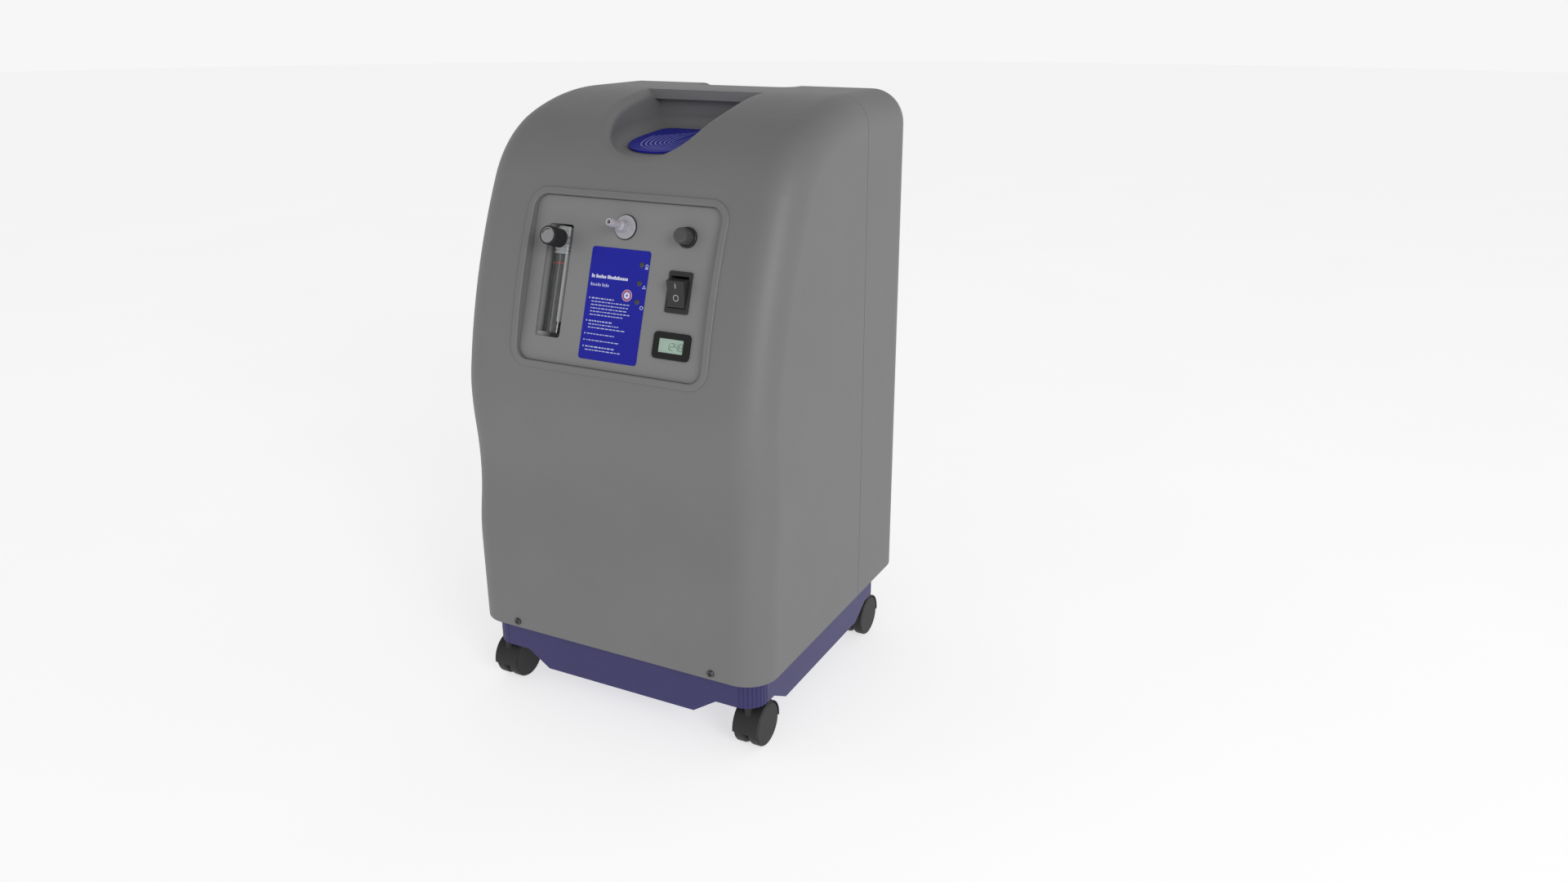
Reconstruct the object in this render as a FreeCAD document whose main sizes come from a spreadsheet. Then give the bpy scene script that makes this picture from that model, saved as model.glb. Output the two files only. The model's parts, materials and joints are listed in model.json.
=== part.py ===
"""Oxygen concentrator: a wheeled cabinet with its control panel, casters and working parts.

Frame: millimetres, +Z up, the front faces -Y, +X is on the right when facing the front.
The origin is on the floor, below the middle of the cabinet.
"""

import FreeCAD, Part
import math
import os
import re

import Sketcher
from FreeCAD import Placement, Rotation, Vector

doc = FreeCAD.newDocument("oxygen_concentrator")

# ---------------------------------------------------------------- driving sizes

SIZES = {
    # cabinet
    "bodyWidth": 337.7, "bodyDepth": 336.7, "bodyTop": 600, "shellFoot": 77.4,
    "wall": 3, "edgeRound": 32, "rearRound": 35, "seamPlane": 54, "seamGap": 0.6,
    "slack": 0.3, "lapDepth": 9,
    # front outline, from the foot up: every arc is tangent to its neighbours
    "footRise": 165, "dipRadius": 231, "dipTurn": 10.6, "bulgeRadius": 324, "bulgeTurn": 6.2,
    "browRadius": 160, "browTurn": 10, "faceTurn": 17, "shoulderRadius": 114, "shoulderTurn": 43,
    "crownRadius": 267,
    # carrying pocket in the crown
    "pocketHalf": 58, "pocketReach": 94, "pocketRear": 50.5, "pocketFloor": 547, "pocketTilt": 5.2,
    "pocketRound": 13, "rimRound": 9, "gripFront": 40, "gripThick": 13,
    "grilleHalf": 49, "grilleReach": 68, "grilleRear": 41.5, "grilleLift": 0.75, "grilleThick": 2.3,
    "slotWide": 1.3,
    "slotCount": 8, "slotPitch": 4.6,
    "rearScoopHalf": 54, "rearScoopFront": 112, "rearScoopFloor": 561, "rearScoopRound": 12,
    # control panel frame
    "panelX": 3, "panelY": -130.6, "panelZ": 438, "panelLean": 18.8,
    "panelWide": 202, "panelTall": 156, "panelCorner": 13, "panelThick": 2.5, "panelGap": 0.3,
    "beadWide": 7, "beadProud": 1.5, "beadSoft": 1.4, "ledge": 7, "frameWall": 4,
    "labelU": -1, "labelV": -17.8, "labelWide": 63.6, "labelTall": 104, "labelCorner": 3,
    "labelThick": 0.4,
    "lensU": 22.7, "lensTop": 21.4, "lensPitch": 16.85, "lensHalf": 2.5, "lensProud": 0.9,
    # flow meter
    "flowU": -71.1, "flowV": -1.5, "flowWide": 27.9, "flowTall": 106, "flowCorner": 3,
    "flowDeep": 25, "flowWall": 2.5, "tubeHalf": 10.6, "boreHalf": 4.7, "tubeLow": -50,
    "tubeTop": 24, "tubeDepth": -12.4, "floatHalf": 4.3, "seatTall": 2,
    "valveTop": 50, "ribCount": 7, "ribDeep": 0.9,
    "knobU": -65, "knobV": 37, "knobHalf": 8.8, "knobBack": 8, "knobFace": 28, "neckHalf": 4,
    "capHalf": 7.3, "gripCount": 40, "gripHalf": 0.35,
    # outlet nozzle
    "outletU": 0, "outletV": 53.8, "gasketHalf": 11.7, "gasketThick": 0.8, "flangeHalf": 10.8,
    "flangeThick": 1.6, "nozzleRoot": 5.3, "nozzleNeck": 3.4, "nozzleBarb": 4.05,
    "nozzleBore": 1.8, "rootEnd": 12, "neckEnd": 22.5, "barbEnd": 28.5, "shankHalf": 4.8,
    "shankDeep": 15,
    # reset breaker
    "resetU": 66.3, "resetV": 49.8, "ringHalf": 9.4, "ringTall": 3, "bootHalf": 7.2,
    "bootTop": 15, "bootRound": 2.2, "resetTravel": 3, "resetNeck": 8.3, "breakerHalf": 8.6,
    "breakerDeep": 30,
    # rocker switch
    "rockU": 65.2, "rockV": 0.7, "rockWide": 24, "rockTall": 37.6, "rockCorner": 2,
    "rockThick": 2, "keyWide": 17.8, "keySlot": 18.6, "keyReach": 28.8, "keyCorner": 12,
    "keyRise": 7.2, "keyDish": 5.8, "keyPin": 1.2, "keyTilt": 19, "switchDeep": 26,
    # hour meter
    "meterU": 65.6, "meterV": -47.5, "meterWide": 38.2, "meterTall": 24.3, "meterCorner": 4,
    "meterThick": 2.4, "screenWide": 25.4, "screenTall": 12.7, "screenDeep": 1.0,
    "meterDeep": 18,
    # base tray
    "trayHalf": 157.8, "trayFront": -157.3, "trayRear": 135, "trayCorner": 22,
    "trayUnder": 46.8, "trayTop": 79.2, "trayWall": 3, "flangeTall": 3, "flangeGap": 0.35,
    "skirtFoot": 30, "skirtHalf": 87, "skirtSlope": 26, "skirtWall": 2, "sideFoot": 32,
    "sideHalf": 86,
    "fluteCount": 8, "fluteHalf": 0.9, "lugWide": 18, "lugTall": 15, "screwX": 114,
    "screwZ": 84, "screwHead": 3.75, "screwTall": 2.2, "screwShank": 1.9, "screwLong": 13,
    # casters
    "stemX": 144.3, "stemFront": -149.5, "stemRear": 127.2, "stemHalf": 4.2, "stemTop": 63,
    "stemFit": 0.06, "trail": 14.3, "wheelHalf": 22, "wheelWide": 11.2, "wheelGap": 4.4,
    "wheelSoft": 2.6, "hoodHalf": 23.7, "hoodInner": 22.6, "hoodDrop": 5, "webThick": 3,
    "webHalf": 14, "axleHalf": 2.5, "axleFit": 0.05, "axleReach": 10, "bossHalf": 9.5,
    "bossTop": 68,
    # rear fittings
    "filterZ": 430, "filterWide": 124, "filterTall": 104, "filterDeep": 15, "filterCorner": 6,
    "coverThick": 4, "foamThick": 9, "louvreCount": 7,
    "ventX": -62, "ventZ": 112, "ventWide": 92, "ventTall": 3.8, "ventPitch": 11, "ventCount": 7,
    "inletX": 95, "inletZ": 128, "inletWide": 50, "inletTall": 30, "inletDeep": 24,
    "socketWide": 24.4, "socketTall": 17, "socketDeep": 16,
    # chassis and compressor
    "deckZ": 84, "sheet": 1.6, "deckHalf": 140, "deckFront": -128, "bulkheadY": 44,
    "bulkheadTop": 530, "bulkheadHalf": 140,
    "springX": 52, "springFront": -88, "springRear": -2, "springHalf": 9, "springWire": 1.5,
    "springTall": 24, "springTurns": 5,
    "motorY": -45, "motorZ": 166, "motorHalf": 44, "motorLong": 104, "crankWide": 50,
    "crankTall": 74, "headTall": 46, "finCount": 6, "shaftHalf": 5, "shaftReach": 121,
    "fanHalf": 36, "fanBlades": 8,
    # sieve beds, tank, valves
    "bedHalf": 36, "bedFloor": 85.62, "bedTall": 310, "bedY": 92, "bedX": 86, "bedCap": 8,
    "tankHalf": 30, "tankTall": 262, "tankX": 82, "manifoldTall": 26, "manifoldDeep": 44,
    "coilHalf": 9, "coilTall": 30,
    # cooling, electronics, air path
    "fanFrame": 119, "fanDeep": 25, "fanBore": 55, "fanZ": 300, "hubHalf": 19, "bladeCount": 7,
    "boardWide": 112, "boardTall": 86, "boardX": -70, "boardZ": 474, "standoff": 8,
    "capacitorHalf": 21, "capacitorTall": 92, "capacitorX": 112, "capacitorY": -105,
    "mufflerHalf": 22, "mufflerLong": 96, "mufflerX": -112, "mufflerY": 17,
    "canisterHalf": 28, "canisterTall": 74, "canisterX": 106, "canisterY": -4, "canisterZ": 330,
    "pipeHalf": 4, "pipeRows": 4, "pipePitch": 22, "pipeSpan": 92, "pipeY": -22,
}

sheet = doc.addObject("Spreadsheet::Sheet", "Sizes")
for row, (alias, value) in enumerate(SIZES.items(), start=1):
    sheet.set(f"A{row}", alias)
    sheet.set(f"B{row}", str(value))
    sheet.setAlias(f"B{row}", alias)
doc.recompute()

S = sheet
FRONT = -S.bodyDepth / 2
REAR = S.bodyDepth / 2
EVERYWHERE = 1200
TINY = 0.01


def linked(expression):
    """Turns the alias words of an expression into references to the sheet's cells."""
    def cell(match):
        word = match.group()
        return f"Sizes.{word}" if word in SIZES else word

    return re.sub(r"[A-Za-z]\w*", cell, str(expression))


def bind(thing, **expressions):
    for name, expression in expressions.items():
        thing.setExpression(name, linked(expression))


def place(x=0, y=0, z=0, axis=(0, 0, 1), angle=0):
    return Placement(Vector(x, y, z), Rotation(Vector(*axis), angle))


def on_panel(u=0, v=0, w=0):
    """The panel's own frame: u to the right, v up the leaning face, w out of it."""
    panel = place(S.panelX, S.panelY, S.panelZ, (1, 0, 0), 90 - S.panelLean)
    return panel.multiply(place(u, v, w))


# ---------------------------------------------------------------- primitives and booleans

def solid(kind, name, placement=None, **sizes):
    made = doc.addObject("Part::" + kind, name)
    bind(made, **sizes)
    made.Placement = placement or Placement()
    return made


def block(name, long, wide, tall, placement=None):
    """A box centred on its placement in X and Y, and standing on it in Z."""
    made = solid("Box", name, Length=long, Width=wide, Height=tall)
    doc.recompute()
    centred = place(-made.Length.Value / 2, -made.Width.Value / 2, 0)
    made.Placement = (placement or Placement()).multiply(centred)
    return made


def rod(name, half, tall, placement=None):
    return solid("Cylinder", name, placement, Radius=half, Height=tall)


def fuse(name, pieces):
    made = doc.addObject("Part::MultiFuse", name)
    made.Shapes = pieces
    return made


def cut(name, base, tools):
    made = doc.addObject("Part::Cut", name)
    made.Base = base
    made.Tool = tools[0] if len(tools) == 1 else fuse(name + "Tools", tools)
    return made


def common(name, base, tool):
    made = doc.addObject("Part::Common", name)
    made.Base = base
    made.Tool = tool
    return made


def group(name, pieces):
    """Identical pieces of one node, kept as separate solids."""
    made = doc.addObject("Part::Compound", name)
    made.Links = pieces
    return made


def shaped(name, shape, placement=None):
    made = doc.addObject("Part::Feature", name)
    made.Shape = shape
    made.Placement = placement or Placement()
    return made


def rounded(name, base, radius, wanted):
    """Rounds the edges of a piece that the test picks, with a radius from the sheet."""
    doc.recompute()
    made = doc.addObject("Part::Fillet", name)
    made.Base = base
    size = float(radius)
    edges = base.Shape.Edges
    made.Edges = [(i, size, size) for i, edge in enumerate(edges, start=1) if wanted(edge)]
    return made


# ---------------------------------------------------------------- sketched bodies

def start_body(name):
    return doc.addObject("PartDesign::Body", name)


def sketch_on(body, name, role):
    sketch = body.newObject("Sketcher::SketchObject", name)
    plane = next(f for f in body.Origin.OriginFeatures if f.Role == role)
    sketch.AttachmentSupport = [(plane, "")]
    sketch.MapMode = "FlatFace"
    return sketch


def number(expression):
    """The value of a sum of signed sheet words, products and plain numbers."""
    total = 0.0
    for sign, term in re.findall(r"([+-]?)\s*([^+-]+)", str(expression)):
        product = 1.0
        for mark, factor in re.findall(r"([*/]?)\s*([\w.]+)", term):
            amount = getattr(S, factor) if factor in SIZES else float(factor)
            product = product / amount if mark == "/" else product * amount
        total += -product if sign == "-" else product
    return total


def polygon(sketch, corners):
    """A closed outline of straight edges, each corner bound to the sheet's cells."""
    points = [Vector(number(x), number(y), 0) for x, y in corners]
    for i, point in enumerate(points):
        sketch.addGeometry(Part.LineSegment(point, points[(i + 1) % len(points)]))
    for i in range(len(points)):
        sketch.addConstraint(Sketcher.Constraint("Coincident", i, 2, (i + 1) % len(points), 1))
    for i, (corner, point) in enumerate(zip(corners, points)):
        for kind, text, amount in (("DistanceX", corner[0], point.x), ("DistanceY", corner[1], point.y)):
            index = sketch.addConstraint(Sketcher.Constraint(kind, -1, 1, i, 1, amount))
            if re.search(r"[A-Za-z]", str(text)):
                sketch.setExpression(f"Constraints[{index}]", linked(text))


def rounded_rectangle(sketch, wide, tall, corner):
    """A rectangle centred on the origin, with round corners."""
    a, b, r = number(wide) / 2, number(tall) / 2, number(corner)
    line, up = Part.LineSegment, Vector(0, 0, 1)
    sketch.addGeometry(line(Vector(r - a, -b, 0), Vector(a - r, -b, 0)))
    sketch.addGeometry(line(Vector(a, r - b, 0), Vector(a, b - r, 0)))
    sketch.addGeometry(line(Vector(a - r, b, 0), Vector(r - a, b, 0)))
    sketch.addGeometry(line(Vector(-a, b - r, 0), Vector(-a, r - b, 0)))
    for turn, (x, y) in enumerate(((a - r, r - b), (a - r, b - r), (r - a, b - r), (r - a, r - b))):
        circle = Part.Circle(Vector(x, y, 0), up, r)
        begin = math.radians(90 * turn - 90)
        sketch.addGeometry(Part.ArcOfCircle(circle, begin, begin + math.pi / 2))
    for side in range(4):
        sketch.addConstraint(Sketcher.Constraint("Tangent", side, 2, side + 4, 1))
        sketch.addConstraint(Sketcher.Constraint("Tangent", side + 4, 2, (side + 1) % 4, 1))
    for side, kind in enumerate(("Horizontal", "Vertical", "Horizontal", "Vertical")):
        sketch.addConstraint(Sketcher.Constraint(kind, side))
    for arc in (5, 6, 7):
        sketch.addConstraint(Sketcher.Constraint("Equal", 4, arc))
    bound = (
        (Sketcher.Constraint("Radius", 4, r), corner),
        (Sketcher.Constraint("DistanceX", 3, 1, 1, 1, 2 * a), wide),
        (Sketcher.Constraint("DistanceY", 0, 1, 2, 1, 2 * b), tall),
        (Sketcher.Constraint("DistanceX", 3, 1, -1, 1, a), f"({wide})/2"),
        (Sketcher.Constraint("DistanceY", 0, 1, -1, 1, b), f"({tall})/2"),
    )
    for constraint, text in bound:
        index = sketch.addConstraint(constraint)
        sketch.setExpression(f"Constraints[{index}]", linked(text))


def padded(name, wide, tall, corner, low, high, placement=None):
    """A rounded rectangle raised from low to high along its own Z."""
    body = start_body(name)
    sketch = sketch_on(body, name + "Outline", "XY_Plane")
    rounded_rectangle(sketch, wide, tall, corner)
    sketch.AttachmentOffset = place(0, 0, number(low))
    pad = body.newObject("PartDesign::Pad", name + "Pad")
    pad.Profile = sketch
    bind(pad, Length=f"({high})-({low})")
    body.Placement = placement or Placement()
    return body


def turned(name, corners, placement=None):
    """A round piece: corners are (radius, height) pairs, turned about its own Z."""
    body = start_body(name)
    sketch = sketch_on(body, name + "Outline", "XZ_Plane")
    polygon(sketch, corners)
    turn = body.newObject("PartDesign::Revolution", name + "Turn")
    turn.Profile = sketch
    turn.ReferenceAxis = (sketch, ["V_Axis"])
    turn.Angle = 360
    body.Placement = placement or Placement()
    return body


def soften(body, radius, wanted):
    """Adds a fillet to the edges of a sketched body that the test picks."""
    doc.recompute()
    tip = body.Tip
    names = [f"Edge{i}" for i, edge in enumerate(tip.Shape.Edges, start=1) if wanted(edge)]
    fillet = body.newObject("PartDesign::Fillet", body.Name + "Soft")
    fillet.Base = (tip, names)
    bind(fillet, Radius=radius)
    return body


def edge_at(height, tolerance=TINY):
    """Picks the edges that lie level at a height."""
    def test(edge):
        box = edge.BoundBox
        return abs(box.ZMin - height) < tolerance and abs(box.ZMax - height) < tolerance

    return test


NODES = {}


def node(label, piece, placement=None):
    """Names a finished sub-part; its label is its file's name."""
    piece.Label = label
    if placement is not None:
        piece.Placement = placement.multiply(piece.Placement)
    NODES[label] = piece
    return piece


# ---------------------------------------------------------------- cabinet shells

def front_arcs():
    """(radius, turn) of the front's arcs from the foot up; a positive turn leans back."""
    lean = math.radians(S.browTurn)
    steep = math.radians(S.browTurn + S.faceTurn)
    over = math.radians(S.browTurn + S.faceTurn + S.shoulderTurn)
    below = S.footRise + 2 * S.dipRadius * math.sin(math.radians(S.dipTurn))
    below += 2 * S.bulgeRadius * math.sin(math.radians(S.bulgeTurn))
    below += S.browRadius * math.sin(lean)
    above = S.shoulderRadius * (math.sin(over) - math.sin(steep))
    above += S.crownRadius * (1 - math.sin(over))
    face_radius = (S.bodyTop - below - above) / (math.sin(steep) - math.sin(lean))
    crown_turn = 90 - math.degrees(over)
    return (
        (S.dipRadius, S.dipTurn), (S.dipRadius, -S.dipTurn),
        (S.bulgeRadius, -S.bulgeTurn), (S.bulgeRadius, S.bulgeTurn),
        (S.browRadius, S.browTurn), (face_radius, S.faceTurn),
        (S.shoulderRadius, S.shoulderTurn), (S.crownRadius, crown_turn),
    )


def side_outline(sketch, inset, foot):
    """The cabinet seen from its side, moved inwards by the inset."""
    here = Vector(FRONT + inset, foot, 0)
    runs = []
    ends = []

    def straight(y, z):
        nonlocal here
        there = Vector(y, z, 0)
        runs.append(Part.LineSegment(here, there))
        ends.append((1, 2))
        here = there

    def arc(radius, heading, turn):
        nonlocal here
        way = math.copysign(1, turn)
        reach = radius - way * inset

        def at(share):
            end = math.radians(heading + turn * share)
            begin = math.radians(heading)
            along = way * reach * (math.cos(begin) - math.cos(end))
            return here + Vector(along, way * reach * (math.sin(end) - math.sin(begin)), 0)

        runs.append(Part.Arc(here, at(0.5), at(1)))
        ends.append((2, 1) if turn > 0 else (1, 2))
        here = at(1)

    straight(FRONT + inset, S.footRise)
    heading = 0
    for radius, turn in front_arcs():
        arc(radius, heading, turn)
        heading += turn
    straight(REAR - S.rearRound, S.bodyTop - inset)
    arc(S.rearRound, 90, 90)
    straight(REAR - inset, foot)
    straight(FRONT + inset, foot)
    for run in runs:
        sketch.addGeometry(run)
    for i, (_, last) in enumerate(ends):
        after = (i + 1) % len(runs)
        sketch.addConstraint(Sketcher.Constraint("Coincident", i, last, after, ends[after][0]))


def cabinet(name, inset, foot, wide, rounding=None):
    """The cabinet's solid form, inset from its skin; its swept edges may be rounded."""
    body = start_body(name)
    sketch = sketch_on(body, name + "Side", "YZ_Plane")
    side_outline(sketch, inset, foot)
    pad = body.newObject("PartDesign::Pad", name + "Pad")
    pad.Profile = sketch
    pad.Midplane = True
    bind(pad, Length=wide)
    if rounding:
        half = number(wide) / 2

        def swept(edge):
            box = edge.BoundBox
            level = abs(box.ZMax - foot) < TINY
            return not level and abs(abs(box.XMin) - half) < TINY and box.XLength < TINY

        soften(body, rounding, swept)
    return body


def halfspace(name, y_from, y_to):
    """A large box between two planes across the cabinet."""
    deep = y_to - y_from
    box = Part.makeBox(EVERYWHERE, deep, EVERYWHERE, Vector(-EVERYWHERE / 2, y_from, -TINY))
    return shaped(name, box)


def panel_prism(name, wide, tall, corner, low, high, u=0, v=0):
    return padded(name, wide, tall, corner, low, high, on_panel(u, v))


def tongue(half, reach, rear, low, high):
    """A plate that is straight at the rear and half an ellipse at the front."""
    if reach > half:
        oval = Part.Ellipse(Vector(0, -reach, 0), Vector(half, 0, 0), Vector(0, 0, 0))
        front = Part.Arc(oval, math.pi * 1.5, math.pi * 2.5).toShape()
    else:
        oval = Part.Ellipse(Vector(half, 0, 0), Vector(0, reach, 0), Vector(0, 0, 0))
        front = Part.Arc(oval, math.pi, math.pi * 2).toShape()
    ends = sorted((vertex.Point for vertex in front.Vertexes), key=lambda point: point.x)
    corners = [ends[1], Vector(half, rear, 0), Vector(-half, rear, 0), ends[0]]
    sides = [Part.LineSegment(a, b).toShape() for a, b in zip(corners, corners[1:])]
    outline = Part.Wire(Part.__sortEdges__([front] + sides))
    form = Part.Face(outline).extrude(Vector(0, 0, high - low))
    form.translate(Vector(0, 0, low))
    return form


def pocket_floor(drop=0):
    """The frame of the pocket's floor, which falls towards the front."""
    lift = math.tan(math.radians(S.pocketTilt)) * S.pocketReach
    return place(0, 0, S.pocketFloor - drop + lift, (1, 0, 0), S.pocketTilt)


def pocket_form(name, half, reach, rear, top, drop=0, rounding=None):
    """The carrying pocket's hollow, or its skin, standing on the tilted floor."""
    form = tongue(half, reach, rear, 0, top)
    if rounding:
        form = form.makeFillet(rounding, [edge for edge in form.Edges if edge_at(0)(edge)])
    return shaped(name, form, pocket_floor(drop))


def shared_edges(skins, wanted):
    """A test for the edges that lie on both skins."""
    def test(edge):
        middle = Part.Vertex(edge.valueAt((edge.FirstParameter + edge.LastParameter) / 2))
        return wanted(edge) and all(skin.distToShape(middle)[0] < TINY for skin in skins)

    doc.recompute()
    skins = [piece.Shape.Shells[0] for piece in skins]
    return test


def dug(name, base, hollow, radius, wanted):
    """Cuts a hollow into a solid form and rounds the rim it leaves."""
    opened = cut(name, base, [hollow])
    return rounded(name + "Soft", opened, radius, shared_edges([base, hollow], wanted))


def along_the_sides(edge):
    """True for a rim's edges that run front to back, false for one straight across."""
    return edge.BoundBox.YLength > 1


def make_front_shell():
    mouth = pocket_form("PocketMouth", S.pocketHalf, S.pocketReach, S.gripFront, 120, 0, S.pocketRound)
    skin = pocket_form("PocketSkin", S.pocketHalf + 2.5, S.pocketReach + 2.5, S.pocketRear + 2.5, 90,
                       2.5, 15)
    outer = cabinet("FrontOuter", 0, S.shellFoot, "bodyWidth", "edgeRound")
    inner = cabinet("FrontInner", S.wall, S.shellFoot - 5, "bodyWidth-2*wall", "edgeRound-wall")
    soft_outer = dug("FrontDug", outer, mouth, S.rimRound, along_the_sides)
    soft_inner = dug("FrontRoom", inner, skin, S.rimRound - 3, along_the_sides)
    hull = cut("FrontHull", soft_outer, [soft_inner])
    face = common("FrontFace", hull, halfspace("FrontSide", FRONT - 10, S.seamPlane - S.seamGap / 2))
    within = cabinet("WithinWall", S.wall / 2, S.shellFoot, "bodyWidth-wall", "edgeRound-wall/2")

    frame_outer = panel_prism("FrameOuter", "panelWide+2*frameWall", "panelTall+2*frameWall",
                              "panelCorner+frameWall", -S.panelThick - 2.6, 14)
    frame_skin = common("FrameSkin", frame_outer, within)

    proud = cabinet("BeadProud", -S.beadProud, S.shellFoot, "bodyWidth-2*edgeRound")
    core = cabinet("BeadCore", 1.2, S.shellFoot - 5, "bodyWidth")
    bead_ring = cut("BeadRing",
                    panel_prism("BeadOutline", "panelWide+2*beadWide", "panelTall+2*beadWide",
                                "panelCorner+beadWide", -10, 16),
                    [panel_prism("BeadHole", "panelWide", "panelTall", "panelCorner", -12, 18)])
    bead = cut("Bead", common("BeadBlank", proud, bead_ring), [core])

    def crest(edge):
        middle = edge.valueAt((edge.FirstParameter + edge.LastParameter) / 2)
        deep = core.Shape.distToShape(Part.Vertex(middle))[0]
        return deep > (S.beadProud + 1.2) * 0.9

    soft_bead = rounded("SoftBead", bead, S.beadSoft, crest)

    window = panel_prism("PanelWindow", "panelWide", "panelTall", "panelCorner", -S.panelThick - 0.1, 20)
    throat = panel_prism("PanelThroat", "panelWide-2*ledge", "panelTall-2*ledge", "panelCorner-ledge+2",
                         -30, 0)
    finger_top = S.bodyTop - S.gripThick - S.pocketFloor - 9
    finger = pocket_form("PocketFinger", S.pocketHalf, S.pocketReach, S.pocketRear, finger_top, 0,
                         S.pocketRound)
    holes = [rod(f"FrontScrewHole{i}", "screwShank+0.2", 12,
                 place(side * S.screwX, FRONT - 3, S.screwZ, (1, 0, 0), -90))
             for i, side in enumerate((-1, 1))]
    frame = cut("PanelFrame", frame_skin, [window, throat])
    skin_open = cut("FrontSkin", cut("FrontWindow", face, [window]), [finger] + holes)
    return node("front_shell", fuse("FrontShell", [skin_open, frame, soft_bead]))


def scoop(name, grow, top):
    """The rear finger scoop's hollow, or its skin when grown."""
    wide = 2 * (S.rearScoopHalf + grow)
    front = S.rearScoopFront - grow
    floor = S.rearScoopFloor - grow
    box = Part.makeBox(wide, REAR + 20 - front, top - floor, Vector(-wide / 2, front, floor))
    inside = [e for e in box.Edges
              if e.BoundBox.YMax < REAR + 10 and e.BoundBox.ZMin < top - 1
              or e.BoundBox.YLength > 20 and e.BoundBox.ZMax < top - 1]
    return shaped(name, box.makeFillet(S.rearScoopRound + grow, inside))


def any_way(edge):
    return True


def make_rear_shell():
    mouth = scoop("ScoopMouth", 0, S.bodyTop + 40)
    skin = scoop("ScoopOuter", 2.5, S.bodyTop + 20)
    outer = cabinet("RearOuter", 0, S.shellFoot, "bodyWidth", "edgeRound")
    inner = cabinet("RearInner", S.wall, S.shellFoot - 5, "bodyWidth-2*wall", "edgeRound-wall")
    soft_outer = dug("RearDug", outer, mouth, 5, any_way)
    soft_inner = dug("RearRoom", inner, skin, 3, any_way)
    hull = cut("RearHull", soft_outer, [soft_inner])
    back = common("RearBack", hull, halfspace("RearSide", S.seamPlane + S.seamGap / 2, REAR + 10))

    lip_outer = cabinet("LipOuter", S.wall + 0.3, S.shellFoot + 6, "bodyWidth-2*wall-0.6",
                        "edgeRound-wall-0.3")
    lip_inner = cabinet("LipInner", S.wall + 2.3, S.shellFoot - 5, "bodyWidth-2*wall-4.6",
                        "edgeRound-wall-2.3")
    lip = common("Lip", cut("LipRing", lip_outer, [lip_inner]),
                 halfspace("LipSide", S.seamPlane - S.lapDepth, S.seamPlane + 4))
    break_wide = 2 * (S.pocketHalf + S.rimRound + 1)
    lip = cut("LipBroken", lip, [block("LipBreak", break_wide, 20, 100, place(
        0, S.seamPlane + S.seamGap / 2 - 10, S.pocketFloor))])
    root_outer = cabinet("RootOuter", S.wall - 0.5, S.shellFoot + 6, "bodyWidth-2*wall+1",
                         "edgeRound-wall+0.5")
    root = common("LipRoot", cut("RootRing", root_outer, [lip_inner]),
                  halfspace("RootSide", S.seamPlane + S.seamGap / 2, S.seamPlane + 4))

    tray = block("FilterTrayOuter", "filterWide+5", "filterDeep+2.5", "filterTall+5",
                 place(0, REAR - (S.filterDeep + 2.5) / 2 - TINY, S.filterZ - S.filterTall / 2 - 2.5))
    blank = fuse("RearBlank", [back, lip, root, tray])

    filter_hollow = padded("FilterHollow", "filterWide", "filterTall", "filterCorner", 0, 40,
                           place(0, REAR - S.filterDeep, S.filterZ, (1, 0, 0), -90))
    air_holes = [rod(f"AirHole{i}", 7, 30, place((i % 5 - 2) * 22, REAR - S.filterDeep - 20,
                                                S.filterZ + (i // 5 - 1) * 24, (1, 0, 0), -90))
                 for i in range(15)]
    vents = [padded(f"Vent{i}", "ventWide", "ventTall", "ventTall/2-0.1", 0, 20,
                    place(S.ventX, REAR - 12, S.ventZ + i * S.ventPitch, (1, 0, 0), -90))
             for i in range(int(S.ventCount))]
    socket = block("InletHole", "inletWide-12", 20, "inletTall-6",
                   place(S.inletX, REAR, S.inletZ - (S.inletTall - 6) / 2))
    holes = [rod(f"RearScrewHole{i}", "screwShank+0.2", 12,
                 place(side * S.screwX, REAR - 8, S.screwZ, (1, 0, 0), -90))
             for i, side in enumerate((-1, 1))]
    cuts = [filter_hollow, socket] + air_holes + vents + holes
    return node("rear_shell", cut("RearShell", blank, cuts))


def make_screws():
    """Pan-head screws with crossed recesses that hold both shells to the tray."""
    pieces = []
    for i, (side, face) in enumerate(((-1, -1), (1, -1), (-1, 1), (1, 1))):
        head = turned(f"ScrewHead{i}", [
            (0, "-screwLong"), ("screwShank", "-screwLong"), ("screwShank", 0), ("screwHead", 0),
            ("screwHead", "screwTall*0.45"), ("screwHead-1", "screwTall*0.9"), (0, "screwTall")])
        slots = [block(f"ScrewSlot{i}{k}", 0.9, 4.2, 3, place(0, 0, 0.8, (0, 0, 1), 90 * k))
                 for k in (0, 1)]
        screw = cut(f"Screw{i}", head, slots)
        screw.Placement = place(side * S.screwX, face * (REAR + 0.05), S.screwZ, (1, 0, 0), -90 * face)
        pieces.append(screw)
    return node("shell_screws", group("ShellScrews", pieces))


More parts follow.
